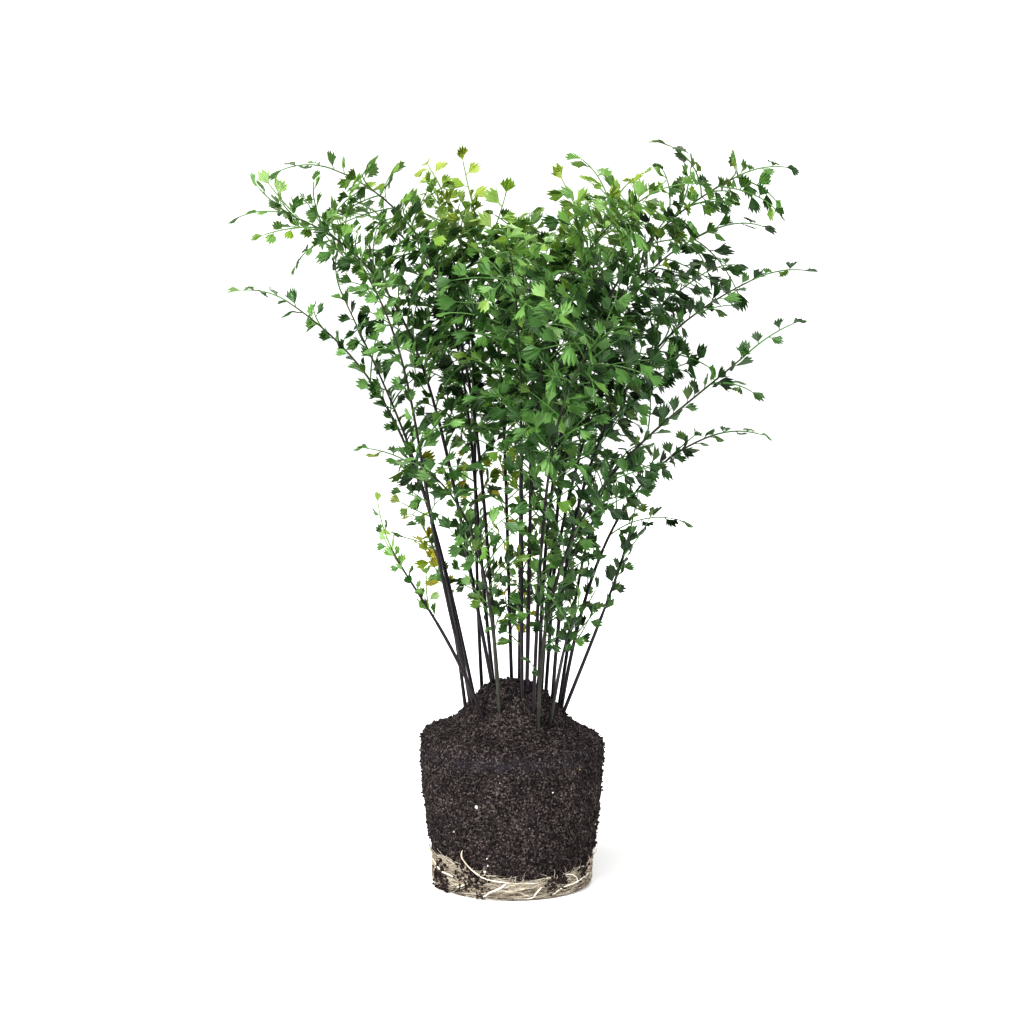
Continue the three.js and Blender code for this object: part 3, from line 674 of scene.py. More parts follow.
def place_sprig(ways, row, bend, crowd, owner, keep_clear=KEEP_CLEAR, least=0, **spacing):
    """The first way that keeps the sprig clear of its neighbours, or else the clearest."""
    best, best_clear, around = None, least, None
    for origin, along, normal, first_side in ways:
        if around is None:
            around, owners = crowd.near(origin, REACH)
        leaflets = set_leaflets(row, first_side, **spacing)
        sprig = Sprig(leaflets, bend, origin, along, normal)
        rail = sprig.place(rail_probes(leaflets))
        blade = sprig.place(np.vstack([leaflet.probes() for leaflet in leaflets]))
        clear = least_distance(blade, around, origin)
        if least and not inside_box(blade):
            continue
        if clear > best_clear:
            clear = min(clear, least_distance(rail, around[owners != owner], origin))
        if clear > best_clear:
            best, best_clear, probes = sprig, clear, np.vstack((rail, blade))
        if clear >= keep_clear:
            break
    if best:
        crowd.add(probes, owner)
    return best


def main_sprigs(line, crowd):
    """The sprigs that the frond's solid has, and where along the stem each begins."""
    draw = draw_stream(line.owner + 1)
    foot, end = line.blade_start, line.blade_end
    count = math.floor((end - foot) * line.length / SPRIG_SPACING + 0.5)
    count = min(max(count, FEWEST_SPRIGS), MOST_SPRIGS)
    feet = [foot + (end - foot) * (i + FIRST_FOOT + FOOT_SPREAD * next(draw)) / count for i in range(count)]
    sprigs = []
    for i, t in enumerate(feet):
        roll = (-SPRIG_ROLL if i % 2 else SPRIG_ROLL) + ROLL_SPREAD * next(draw)
        tilt = np.array((next(draw), next(draw), next(draw))) * TILT_SPREAD
        bend = math.radians(SPRIG_BEND * (1 + BEND_SPREAD * next(draw)))
        row = leaflet_row(SPRIG_LEAFLETS, line.leaf_size * (1 - SPRIG_SHRINK * i), draw)
        ways = side_ways(line.point_at(t), line.heading_at(t), roll, tilt, line.opening)
        sprigs.append(place_sprig(ways, row, bend, crowd, line.owner))
    row = leaflet_row(SPRIG_LEAFLETS, line.leaf_size * TIP_SIZE, draw)
    bend = math.radians(SPRIG_BEND * (1 + BEND_SPREAD * next(draw)))
    heading = line.heading_at(end)
    ways = tip_ways(line.point_at(end) - heading * TIP_SINK, heading, TIP_ROLL * next(draw))
    sprigs.append(place_sprig(ways, row, bend, crowd, line.owner))
    return feet, sprigs


class Filler:
    """Adds the smaller sprigs and single leaflets between the main sprigs of one frond."""

    def __init__(self, line, crowd, taken):
        self.line, self.crowd, self.taken = line, crowd, taken
        self.draw = draw_stream(line.owner + SMALL_SEED)
        self.sprigs = []
        self.count = 0

    def add(self, t, leaflets, size, foot, turn_spread, upright):
        draw, line = self.draw, self.line
        self.count += 1
        if min(abs(t - other) for other in self.taken) < CROWDED * line.step:
            t += SHIFT * line.step
        facing = np.array((next(draw), next(draw), next(draw)))
        bend = math.radians(SMALL_BEND * (1 + SMALL_BEND_SPREAD * next(draw)))
        row = leaflet_row(leaflets, size, draw)
        origin = line.point_at(t)
        out, up, random = SMALL_FACING
        light = unit(unit(origin * (1, 1, 0)) * out + UP * up + facing * random)
        roll = (0 if upright else -SMALL_TURN if self.count % 2 else SMALL_TURN) + turn_spread * next(draw)
        if leaflets > 1 and math.hypot(origin[0], origin[1]) > mass_radius(origin) - EDGE_INSET:
            return
        ways = side_ways(origin, line.heading_at(t), roll, np.zeros(3), line.opening, light)
        sprig = place_sprig(ways, row, bend, self.crowd, line.owner, SMALL_CLEAR, SMALL_LEAST,
                            foot=foot, step=SMALL_STEP * size + 1)
        if sprig:
            self.sprigs.append(sprig)

    def fill(self, first, last, growing, size=1, upright=False):
        """Sprigs of one kind, evenly between two places on the stem."""
        draw = self.draw
        count = max(1, int((last - first) * self.line.length / growing.spacing))
        for i in range(count):
            t = first + (last - first) * (i + 0.5 + SMALL_FOOT_SPREAD * next(draw)) / count
            many = max(1, round(growing.leaflets * (1 + SMALL_COUNT_SPREAD * next(draw))))
            scale = growing.size * size * (1 + SMALL_SIZE_SPREAD * next(draw))
            if next(draw) < growing.chance:
                self.add(t, many, scale, growing.foot * scale, growing.turn_spread, upright)


def small_sprigs(line, crowd, taken):
    """The smaller growth of one frond: a few low sprigs, many in its middle, single leaflets at its tip,
    and small upright sprigs where it is in the crown's top edge."""
    filler = Filler(line, crowd, taken)
    bare = line.frond.bare
    strand = strand_start(line)
    strand_end = line.blade_end - TIP_MARGIN * line.step
    filler.fill(bare * LOW_START, bare, LOW_GROWTH)
    filler.fill(bare, strand, MIDDLE_GROWTH, line.leaf_size ** 0.5)
    filler.fill(strand, strand_end, STRAND_GROWTH, line.leaf_size ** 0.5)
    tip = line.point_at(1)
    if tip[2] > CROWN_HEIGHT and abs(tip[0]) < CROWN_REACH:
        filler.fill(line.blade_end - CROWN_LENGTH * line.step, strand_end, CROWN_GROWTH, upright=True)
    return filler.sprigs


def mass_radius(point):
    """How far the dense foliage reaches from the plant's axis, the way of a point and at its height."""
    left, right = (np.interp(point[2], MASS_HEIGHTS, reach) for reach in (MASS_LEFT, MASS_RIGHT))
    towards_right = point[0] / max(1, math.hypot(point[0], point[1]))
    return (left + right) / 2 + (right - left) / 2 * towards_right


def strand_start(line):
    """Where a frond leaves the dense foliage and goes on as a strand with single leaflets."""
    bare = line.frond.bare
    for t in np.linspace(bare, line.blade_end, STRAND_PROBES):
        point = line.point_at(t)
        if math.hypot(point[0], point[1]) > mass_radius(point) - STRAND_INSET:
            return t
    return line.blade_end - (line.blade_end - bare) * STRAND_LEAST


# ---------------------------------------------------------------- shapes modelled once

def open_edit(primitive, **values):
    """Adds a primitive at the origin and opens it for editing by its points."""
    deselect_all()
    primitive(**values)
    bpy.ops.object.mode_set(mode="EDIT")
    bpy.ops.mesh.select_mode(type="VERT")
    bpy.ops.mesh.select_all(action="SELECT")
    return bpy.context.object


def pick(obj, test):
    """Selects the points whose place passes the test, and nothing else."""
    bpy.ops.mesh.select_all(action="DESELECT")
    edit = bmesh.from_edit_mesh(obj.data)
    for point in edit.verts:
        if test(point.co):
            point.select_set(True)
    edit.select_flush(True)
    bmesh.update_edit_mesh(obj.data)


def close_edit():
    bpy.ops.mesh.select_all(action="SELECT")
    bpy.ops.mesh.remove_doubles(threshold=1e-5)
    bpy.ops.mesh.normals_make_consistent(inside=False)
    bpy.ops.object.mode_set(mode="OBJECT")


def apply_modifier(obj, kind, **values):
    select_only(obj)
    modifier = obj.modifiers.new(kind, kind)
    for key, value in values.items():
        setattr(modifier, key, value)
    bpy.ops.object.modifier_apply(modifier=modifier.name)


def leaflet_pattern(teeth, lean, fold, cup, curl):
    """A fan-shaped leaflet 1 long: a petiole along +X, then a blade with teeth that point forward."""
    # one spoke of the fan, in two spans, swept round the blade's foot
    obj = open_edit(bpy.ops.mesh.primitive_grid_add, x_subdivisions=2, y_subdivisions=1, size=BLADE_LENGTH)
    pick(obj, lambda place: place.y > 0)
    bpy.ops.mesh.delete(type="VERT")
    bpy.ops.mesh.select_all(action="SELECT")
    bpy.ops.transform.translate(value=(BLADE_FOOT + BLADE_LENGTH / 2, BLADE_LENGTH / 2, 0))
    foot = Vector((BLADE_FOOT, 0, 0))
    half_angle = math.radians(BLADE_HALF_ANGLE)
    bpy.ops.transform.rotate(value=-half_angle, orient_axis="Z", center_override=foot)
    columns = 2 * teeth - 2
    bpy.ops.mesh.spin(steps=columns, angle=2 * half_angle, center=foot, axis=(0, 0, 1))
    bpy.ops.mesh.select_all(action="SELECT")
    bpy.ops.mesh.remove_doubles(threshold=1e-4)
    # each spoke's end is drawn out to the outline, in turn a tooth and a notch, and raised or lowered
    for column in range(columns + 1):
        angle = half_angle * (1 - 2 * column / columns)
        share = angle / half_angle
        spoke = Vector((math.cos(angle), math.sin(angle), 0))
        along = 1 - (1 - SHOULDER) * abs(share) ** SHOULDER_ROUND + lean * share * LEAN_SHARE * (1 - abs(share))
        end = Vector((along - NOTCH_DEPTH * (column % 2), BLADE_HALF_WIDTH * share, fold * abs(share) + curl))
        middle = foot.lerp(end, 0.5) + Vector((0, 0, cup - curl / 2))
        if column in (0, columns):
            middle.y *= SIDE_SWELL
        for reach, target in ((0.5, middle), (1, end)):
            point = foot + spoke * BLADE_LENGTH * reach
            pick(obj, lambda place: (place - point).length < 1e-3)
            bpy.ops.transform.translate(value=target - point)
    close_edit()
    apply_modifier(obj, "SOLIDIFY", thickness=BLADE_THICKNESS, offset=0)
    bpy.ops.object.mode_set(mode="EDIT")
    bpy.ops.mesh.primitive_cylinder_add(
        vertices=4, radius=PETIOLE_RADIUS, depth=PETIOLE_LENGTH, location=(PETIOLE_MIDDLE, 0, 0),
        rotation=(0, math.radians(90), 0))
    close_edit()
    return Pattern(obj)


def rod_pattern(sides, rings, taper=1.0):
    """A rod along +Z, 1 long and 1 in radius at its foot, drawn out ring by ring."""
    obj = open_edit(bpy.ops.mesh.primitive_circle_add, vertices=sides, radius=1, fill_type="NGON")
    for _ in range(rings):
        bpy.ops.mesh.extrude_region_move(TRANSFORM_OT_translate={"value": (0, 0, 1 / rings)})
        bpy.ops.transform.resize(value=(taper, taper, 1))
    close_edit()
    return Pattern(obj)


def crumb_pattern(seed):
    """A lump 1 in radius."""
    open_edit(bpy.ops.mesh.primitive_ico_sphere_add, subdivisions=1, radius=1)
    bpy.ops.transform.vertex_random(offset=CRUMB_ROUGHNESS, seed=seed)
    close_edit()
    return Pattern(bpy.context.object)


LEAFLETS = [leaflet_pattern(*values) for values in LEAFLET_SHAPES]
STEM_ROD = rod_pattern(sides=8, rings=14)
MIDRIB_ROD = rod_pattern(sides=6, rings=16)
TWIG_ROD = rod_pattern(sides=5, rings=7, taper=0.94)
FIBRE_ROD = rod_pattern(sides=3, rings=7, taper=0.96)
ROOT_ROD = rod_pattern(sides=6, rings=18, taper=0.985)
CRUMBS = [crumb_pattern(seed) for seed in range(CRUMB_SHAPES)]


# ---------------------------------------------------------------- fronds and stems

def leaflet_tint(place, age, length, draw):
    """How young, how light and how blue a leaflet is; its lightness holds painted light outwards and painted
    shade on the right.
    """
    x, y, z = place
    crown = np.interp(z, *CROWN_BY_HEIGHT) * np.interp(abs(x), *CROWN_BY_REACH)
    young = 0.75 * crown * age + 0.30 * crown * abs(draw())
    if draw() > YOUNG_CHANCE:
        young += 0.18 + 0.22 * abs(draw())
    young = min(YOUNGEST_GREEN, max(0, young + 0.12 * draw() - 0.02 * (length - USUAL_LEAFLET)))
    if y > YELLOW_BEHIND and z < YELLOW_BELOW and x < YELLOW_LEFT_OF and draw() > YELLOW_CHANCE:
        young = 0.8 + 0.2 * draw()
    # painted light and shade: leaflets are lighter further from the axis, and darker on the right, where shade
    # falls
    outward = np.interp(math.hypot(x, y), *PAINTED_LIGHT_OUTWARD)
    shaded = np.interp(x, *SHADED_TO_RIGHT) * (1 - 0.6 * crown)
    light = 0.33 + 0.36 * draw() + 0.28 * age + outward + 0.12 * crown - shaded
    blue = max(0, 0.42 + 0.4 * draw() - 1.6 * age - 0.3 * crown)
    return young, light, blue


def add_sprig(growth, sprig, age, draw):
    length = sprig.leaflets[-1].foot[0]
    rod = TWIG_ROD.points[:, [2, 0, 1]] * (length + TWIG_SINK, TWIG_RADIUS, TWIG_RADIUS) - (TWIG_SINK, 0, 0)
    growth.add(TWIG_ROD, sprig.place(rod), slot=1, tint=(age, 0.5 + 0.3 * draw(), 0.9))
    for leaflet in sprig.leaflets:
        pattern = draw.choose(LEAFLETS)
        places = sprig.place(leaflet.at(pattern.points * (1, 1, leaflet.side)))
        tint = leaflet_tint(places.mean(axis=0), age, leaflet.length, draw)
        growth.add(pattern, places, tint=tint, flat=pattern.points[:, :2] + (0, 0.5))


# ---------------------------------------------------------------- finishes

def new_material(name):
    material = bpy.data.materials.new(name)
    material.use_nodes = True
    tree = material.node_tree
    tree.nodes.clear()
    return material, tree


def link(tree, source, target):
    tree.links.new(source, target)


def node(tree, kind, **values):
    made = tree.nodes.new(kind)
    for key, value in values.items():
        if key in made.inputs:
            made.inputs[key].default_value = value
        else:
            setattr(made, key, value)
    return made


def math_node(tree, operation, first, second=None, third=None, clamp=False):
    made = tree.nodes.new("ShaderNodeMath")
    made.operation = operation
    made.use_clamp = clamp
    for socket, value in zip(made.inputs, (first, second, third)):
        if value is None:
            continue
        if isinstance(value, (int, float)):
            socket.default_value = value
        else:
            link(tree, value, socket)
    return made.outputs[0]


def mix_colour(tree, factor, first, second, blend="MIX"):
    made = tree.nodes.new("ShaderNodeMix")
    made.data_type = "RGBA"
    made.blend_type = blend
    for socket, value in zip((made.inputs[0], made.inputs[6], made.inputs[7]), (factor, first, second)):
        if isinstance(value, bpy.types.NodeSocket):
            link(tree, value, socket)
        elif isinstance(value, (int, float)):
            socket.default_value = value
        else:
            socket.default_value = (*value, 1)
    return made.outputs[2]


def scaled(tree, value, gain, least):
    """value times gain, plus least."""
    return math_node(tree, "MULTIPLY_ADD", value, gain, least)


def above(tree, value, floor, gain):
    """How far value is above floor, times gain, from 0 to 1."""
    return math_node(tree, "MULTIPLY", math_node(tree, "SUBTRACT", value, floor, clamp=True), gain, clamp=True)


def mottle_group():
    """Soft uneven patches over a fine grain, both between 0 and 1, from a point on the piece."""
    group = bpy.data.node_groups.new("mottle_and_grain", "ShaderNodeTree")
    group.interface.new_socket("Point", in_out="INPUT", socket_type="NodeSocketVector")
    for name in ("Patch Scale", "Grain Scale"):
        group.interface.new_socket(name, in_out="INPUT", socket_type="NodeSocketFloat")
    for name in ("Patches", "Grain"):
        group.interface.new_socket(name, in_out="OUTPUT", socket_type="NodeSocketFloat")
    entry = group.nodes.new("NodeGroupInput")
    leave = group.nodes.new("NodeGroupOutput")
    patches = node(group, "ShaderNodeTexNoise", Detail=3.0)
    grain = node(group, "ShaderNodeTexNoise", Detail=4.0, Roughness=0.65)
    for noise, scale, result in ((patches, "Patch Scale", "Patches"), (grain, "Grain Scale", "Grain")):
        link(group, entry.outputs["Point"], noise.inputs["Vector"])
        link(group, entry.outputs[scale], noise.inputs["Scale"])
        link(group, noise.outputs["Fac"], leave.inputs[result])
    return group


MOTTLE = mottle_group()


def place_on_piece(tree):
    return tree.nodes.new("ShaderNodeTexCoord").outputs["Object"]


def mottle(tree, patch_scale, grain_scale):
    """Patches and grain, of so many to the metre."""
    made = tree.nodes.new("ShaderNodeGroup")
    made.node_tree = MOTTLE
    made.inputs["Patch Scale"].default_value = patch_scale
    made.inputs["Grain Scale"].default_value = grain_scale
    link(tree, place_on_piece(tree), made.inputs["Point"])
    return made.outputs["Patches"], made.outputs["Grain"]


def split_vector(tree, vector):
    """The X, Y and Z of a vector."""
    made = tree.nodes.new("ShaderNodeSeparateXYZ")
    link(tree, vector, made.inputs["Vector"])
    return made.outputs


def split_colour(tree, colour):
    """The red, green and blue of a colour."""
    made = tree.nodes.new("ShaderNodeSeparateColor")
    link(tree, colour, made.inputs["Color"])
    return tuple(made.outputs[:3])


def ramp(tree, factor, *stops):
    """A colour ramp through (position, colour) stops."""
    made = tree.nodes.new("ShaderNodeValToRGB")
    elements = made.color_ramp.elements
    while len(elements) < len(stops):
        elements.new(0.5)
    for element, (position, colour) in zip(elements, stops):
        element.position = position
        element.color = (*colour, 1)
    link(tree, factor, made.inputs["Fac"])
    return made.outputs["Color"]


def bump(tree, height, strength, distance):
    made = node(tree, "ShaderNodeBump", Strength=strength, Distance=distance)
    link(tree, height, made.inputs["Height"])
    return made.outputs["Normal"]


def finish_surface(tree, colour, normal=None, roughness=0.5, specular=0.5, see_through=0.0):
    """Principled surface, mixed with some light from behind where the piece is thin."""
    surface = tree.nodes.new("ShaderNodeBsdfPrincipled")
    link(tree, colour, surface.inputs["Base Color"])
    if normal is not None:
        link(tree, normal, surface.inputs["Normal"])
    if isinstance(roughness, float):
        surface.inputs["Roughness"].default_value = roughness
    else:
        link(tree, roughness, surface.inputs["Roughness"])
    surface.inputs["Specular IOR Level"].default_value = specular
    output = tree.nodes.new("ShaderNodeOutputMaterial")
    if not see_through:
        link(tree, surface.outputs[0], output.inputs["Surface"])
        return surface
    behind = tree.nodes.new("ShaderNodeBsdfTranslucent")
    link(tree, colour, behind.inputs["Color"])
    both = node(tree, "ShaderNodeMixShader")
    both.inputs[0].default_value = see_through
    link(tree, surface.outputs[0], both.inputs[1])
    link(tree, behind.outputs[0], both.inputs[2])
    link(tree, both.outputs[0], output.inputs["Surface"])
    return surface


def tint_colour(tree):
    return node(tree, "ShaderNodeAttribute", attribute_name="tint").outputs["Color"]


def leaflet_material():
    """tint holds: red, how young the leaflet is; green, how light it is, painted light and shade included;
    blue, how blue.
    """
    material, tree = new_material("fern_leaflet")
    young, light, blue = split_colour(tree, tint_colour(tree))
    patches, grain = mottle(tree, 90.0, 900.0)
    colour = ramp(tree, light, (0.0, (0.009, 0.026, 0.008)), (0.4, (0.040, 0.110, 0.025)),
                  (0.75, (0.165, 0.330, 0.090)), (1.0, (0.370, 0.510, 0.240)))
    fresh = ramp(tree, young, (0.0, (0.200, 0.360, 0.040)), (0.65, (0.360, 0.480, 0.050)),
                 (0.85, (0.480, 0.400, 0.020)))
    colour = mix_colour(tree, young, colour, fresh)
    colour = mix_colour(tree, blue, colour, (0.042, 0.082, 0.045))
    colour = darkened(tree, colour, patches, 0.7, 0.65)
    veins = vein_mask(tree)
    colour = mix_colour(tree, math_node(tree, "MULTIPLY", veins, 0.35), colour, (0.16, 0.30, 0.08))
    relief = math_node(tree, "MULTIPLY_ADD", veins, 0.8, math_node(tree, "MULTIPLY", grain, 0.3))
    finish_surface(tree, colour, bump(tree, relief, 0.35, 0.0004), scaled(tree, grain, 0.25, 0.22), 0.5, 0.16)
    return material


def darkened(tree, colour, mask, gain, least):
    """The colour multiplied by the mask times gain, plus least."""
    grey = tree.nodes.new("ShaderNodeCombineColor")
    shade = scaled(tree, mask, gain, least)
    for socket in grey.inputs:
        link(tree, shade, socket)
    return mix_colour(tree, 1.0, colour, grey.outputs[0], "MULTIPLY")


def vein_mask(tree):
    """Fine veins that fan out from the leaflet's foot, from the plan kept in its UV map."""
    x, y, _ = split_vector(tree, node(tree, "ShaderNodeUVMap", uv_map="leaf_plan").outputs["UV"])
    across = math_node(tree, "SUBTRACT", y, 0.5)
    along = math_node(tree, "SUBTRACT", x, 0.16)
    angle = math_node(tree, "ARCTAN2", across, along)
    wave = math_node(tree, "SINE", math_node(tree, "MULTIPLY", angle, VEINS_PER_RADIAN))
    return math_node(tree, "POWER", scaled(tree, wave, 0.5, 0.5), 6.0)


def twig_material():
    """Green twigs: tint is as on the leaflets."""
    material, tree = new_material("fern_twig")
    young, light, _ = split_colour(tree, tint_colour(tree))
    patches, grain = mottle(tree, 60.0, 700.0)
    colour = ramp(tree, light, (0.0, (0.044, 0.115, 0.036)), (1.0, (0.105, 0.235, 0.078)))
    colour = mix_colour(tree, math_node(tree, "MULTIPLY", young, 0.5), colour, (0.26, 0.40, 0.08))
    colour = mix_colour(tree, math_node(tree, "MULTIPLY", patches, 0.3), colour, (0.040, 0.070, 0.030))
    finish_surface(tree, colour, bump(tree, grain, 0.25, 0.0003), 0.42, 0.3)
    return material


def stem_material():
    """Wiry, nearly black stems, green where tint is red."""
    material, tree = new_material("fern_stem")
    young, _, _ = split_colour(tree, tint_colour(tree))
    patches, grain = mottle(tree, 70.0, 500.0)
    dark = ramp(tree, patches, (0.3, (0.010, 0.008, 0.012)), (0.7, (0.030, 0.021, 0.030)))
    green = ramp(tree, patches, (0.3, (0.050, 0.075, 0.018)), (0.7, (0.120, 0.190, 0.040)))
    colour = mix_colour(tree, young, dark, green)
    finish_surface(tree, colour, bump(tree, grain, 0.2, 0.0004), scaled(tree, grain, 0.3, 0.18), 0.35)
    return material


def soil_material():
    """Fine dark peat: brown-black crumbs with paler grains, and a painted bluish sheen just under the rim."""
    material, tree = new_material("peat_soil")
    place = place_on_piece(tree)
    patches, grain = mottle(tree, 45.0, 900.0)
    crumbs = node(tree, "ShaderNodeTexVoronoi", Scale=760.0, Randomness=1.0)
    link(tree, place, crumbs.inputs["Vector"])
    tone, _, _ = split_colour(tree, crumbs.outputs["Color"])
    colour = ramp(tree, tone, (0.0, (0.014, 0.012, 0.013)), (0.55, (0.042, 0.034, 0.034)),
                  (0.85, (0.085, 0.070, 0.067)), (1.0, (0.170, 0.140, 0.130)))
    colour = darkened(tree, colour, patches, 1.2, 0.45)
    # painted sheen: a bluish highlight in a patchy band just under the rim
    colour = mix_colour(tree, painted_rim_sheen(tree, place), colour, (0.048, 0.048, 0.060))
    height = math_node(tree, "ADD", math_node(tree, "MULTIPLY", crumbs.outputs["Distance"], -1.2), grain)
    finish_surface(tree, colour, bump(tree, height, 0.8, 0.0014), 0.92, 0.06)
    return material


def painted_rim_sheen(tree, place):
    """1 in a soft, patchy band just under the rim, where a bluish sheen is painted."""
    _, _, height = split_vector(tree, place)
    away = math_node(tree, "ABSOLUTE", math_node(tree, "SUBTRACT", height, 0.113))
    band = math_node(tree, "SUBTRACT", 1.0, math_node(tree, "DIVIDE", away, 0.008), clamp=True)
    patches, _ = mottle(tree, 38.0, 300.0)
    return math_node(tree, "MULTIPLY", band, above(tree, patches, 0.35, 2.0))


def crumb_material():
    """Loose crumbs: tint is their own colour."""
    material, tree = new_material("loose_crumbs")
    patches, grain = mottle(tree, 400.0, 2400.0)
    colour = darkened(tree, tint_colour(tree), grain, 1.1, 0.45)
    finish_surface(tree, colour, bump(tree, patches, 0.5, 0.0006), 0.9, 0.06)
    return material


def mat_material():
    """A mat of tan rootlets, lying mostly round the ball."""
    material, tree = new_material("rootlet_mat")
    x, y, height = split_vector(tree, place_on_piece(tree))
    round_ball = math_node(tree, "MULTIPLY", math_node(tree, "ARCTAN2", y, x), 0.066)
    flat = tree.nodes.new("ShaderNodeCombineXYZ")
    link(tree, round_ball, flat.inputs["X"])
    link(tree, height, flat.inputs["Y"])
    lay = node(tree, "ShaderNodeMapping")
    lay.inputs["Scale"].default_value = (220.0, 1300.0, 1.0)
    link(tree, flat.outputs[0], lay.inputs["Vector"])
    strands = node(tree, "ShaderNodeTexNoise", Scale=1.0, Detail=3.0, Distortion=1.6)
    link(tree, lay.outputs[0], strands.inputs["Vector"])
    patches, grain = mottle(tree, 55.0, 1100.0)
    colour = ramp(tree, strands.outputs["Fac"], (0.34, (0.080, 0.066, 0.055)), (0.5, (0.36, 0.31, 0.25)),
                  (0.64, (0.66, 0.60, 0.52)))
    colour = mix_colour(tree, above(tree, patches, 0.45, 2.2), colour, (0.11, 0.075, 0.048))
    relief = math_node(tree, "ADD", strands.outputs["Fac"], math_node(tree, "MULTIPLY", grain, 0.4))
    finish_surface(tree, colour, bump(tree, relief, 0.9, 0.0012), 0.85, 0.1)
    return material


def rootlet_material():
    """Single rootlets: tint red runs from brown at 0 to pale tan at 1."""
    material, tree = new_material("rootlet")
    pale, _, _ = split_colour(tree, tint_colour(tree))
    patches, grain = mottle(tree, 120.0, 1500.0)
    colour = ramp(tree, pale, (0.0, (0.10, 0.08, 0.062)), (0.4, (0.44, 0.38, 0.30)),
                  (1.0, (0.84, 0.79, 0.69)))
    colour = darkened(tree, colour, patches, 0.6, 0.7)
    finish_surface(tree, colour, bump(tree, grain, 0.3, 0.0003), 0.7, 0.35)
    return material


def white_root_material():
    """Plump white roots, faintly ringed and a little stained."""
    material, tree = new_material("white_root")
    patches, grain = mottle(tree, 130.0, 1200.0)
    colour = ramp(tree, patches, (0.30, (0.46, 0.38, 0.27)), (0.5, (0.74, 0.70, 0.60)),
                  (0.7, (0.86, 0.84, 0.78)))
    surface = finish_surface(tree, colour, bump(tree, grain, 0.3, 0.0004), 0.45)
    surface.inputs["Subsurface Weight"].default_value = 0.15
    surface.inputs["Subsurface Radius"].default_value = (0.002, 0.0015, 0.001)
    return material


def floor_material():
    """A matt pale studio floor."""
    material, tree = new_material("studio_floor")
    patches, _ = mottle(tree, 1.5, 60.0)
    colour = ramp(tree, patches, (0.2, (0.94, 0.94, 0.94)), (0.8, (0.96, 0.96, 0.96)))
    finish_surface(tree, colour, None, 0.9, 0.1)
    return material


# ---------------------------------------------------------------- the leafy fronds and their stems

lines = [StemLine(frond, owner) for owner, frond in enumerate(FRONDS)]
crowd = Crowd()
for line in lines:
    count = math.floor(line.length / STEM_MARK)
    crowd.add(np.array([line.point_at(line.blade_end * i / count) for i in range(count + 1)]), line.owner)

# All the main sprigs first, so that the smaller ones keep clear of them.
grown = [main_sprigs(line, crowd) for line in lines]
for line, (feet, sprigs) in zip(lines, grown):
    sprigs += small_sprigs(line, crowd, feet)

leaf_finish, twig_finish, stem_finish = leaflet_material(), twig_material(), stem_material()


def build_blade(line, sprigs):
    """The leafy part of a frond: its midrib, green towards the tip, and all its sprigs."""
    frond, draw = line.frond, Draws(line.owner + LOOK_SEED)
    growth = Growth()
    first, last = line.blade_start, line.blade_end
    rib = line.tube(MIDRIB_ROD, first, last, MIDRIB_GIRTH)
    greenness = np.interp(first + (last - first) * MIDRIB_ROD.points[:, 2],
                          (frond.bare, 0.75, 1.0), (0, 0.25 + 0.2 * frond.age, 1.0))
    growth.add(MIDRIB_ROD, rib, slot=2, tint=np.column_stack((greenness, greenness, greenness)))
    for sprig in sprigs:
        add_sprig(growth, sprig, frond.age, draw)
    return growth.build("fern_frond_" + frond.name, leaf_finish, twig_finish, stem_finish)


def build_stem(line):
    name = line.frond.name
    stem = Growth()
    rod = line.tube(STEM_ROD, -STEM_DEPTH * line.step, line.frond.bare, STEM_GIRTH)
    stem.add(STEM_ROD, rod, tint=(GREENISH_STEMS.get(name, 0), 0, 0))
    return stem.build("fern_stem_" + name, stem_finish)


def frond_slot(age):
    if age > YOUNG_AGE:
        return "frond_young"
    return "frond_dark" if age < OLD_AGE else "frond_green"


for line, (_, sprigs) in zip(lines, grown):
    name = line.frond.name
    dress(build_blade(line, sprigs), frond_slot(line.frond.age), "frond_" + name)
    dress(build_stem(line), "stem", "stem_" + name)


# ---------------------------------------------------------------- root ball

def turned_body(profile, edge_rings, left_rise):
    """A closed body turned round the upright axis.

    The rings in edge_rings follow the mat's torn edge, and those in left_rise stand higher on the left."""
    obj = open_edit(bpy.ops.mesh.primitive_plane_add, size=2 * MM)
    pick(obj, lambda place: place.x > 0 or place.y > 0)
    bpy.ops.mesh.delete(type="VERT")
    bpy.ops.mesh.select_all(action="SELECT")
    bpy.ops.transform.translate(value=(MM + profile[0][0] * MM, MM, profile[0][1] * MM))
    for (radius, height), (next_radius, next_height) in zip(profile, profile[1:]):
        step = ((next_radius - radius) * MM, 0, (next_height - height) * MM)
        bpy.ops.mesh.extrude_region_move(TRANSFORM_OT_translate={"value": step})
    bpy.ops.mesh.select_all(action="SELECT")
    bpy.ops.mesh.spin(steps=EDGE_CORNERS, angle=math.radians(360), center=(0, 0, 0), axis=(0, 0, 1))
    bpy.ops.mesh.select_all(action="SELECT")
    bpy.ops.mesh.remove_doubles(threshold=1e-6)
    bpy.ops.mesh.normals_make_consistent(inside=False)
    moves = {ring: [edge * share for edge in MAT_EDGE] for ring, share in edge_rings.items()}
    angles = [math.radians(EDGE_STEP * corner) for corner in range(EDGE_CORNERS)]
    for ring, rise in left_rise.items():
        moves[ring] = [rise * max(0, -math.cos(angle)) for angle in angles]
    for ring, heights in moves.items():
        radius, height = profile[ring]
        for angle, gain in zip(angles, heights):
            place = Vector((radius * math.cos(angle), radius * math.sin(angle), height)) * MM
            pick(obj, lambda point: (point - place).length < 1e-4)
            bpy.ops.transform.translate(value=(0, 0, gain * MM))
    close_edit()
    return obj


def displace(obj, kind, size, strength, settings):
    texture = bpy.data.textures.new("lumps", kind)
    texture.noise_scale = size * MM
    for key, value in settings.items():
        setattr(texture, key, value)
    apply_modifier(obj, "DISPLACE", texture=texture, strength=strength * MM, texture_coords="LOCAL")


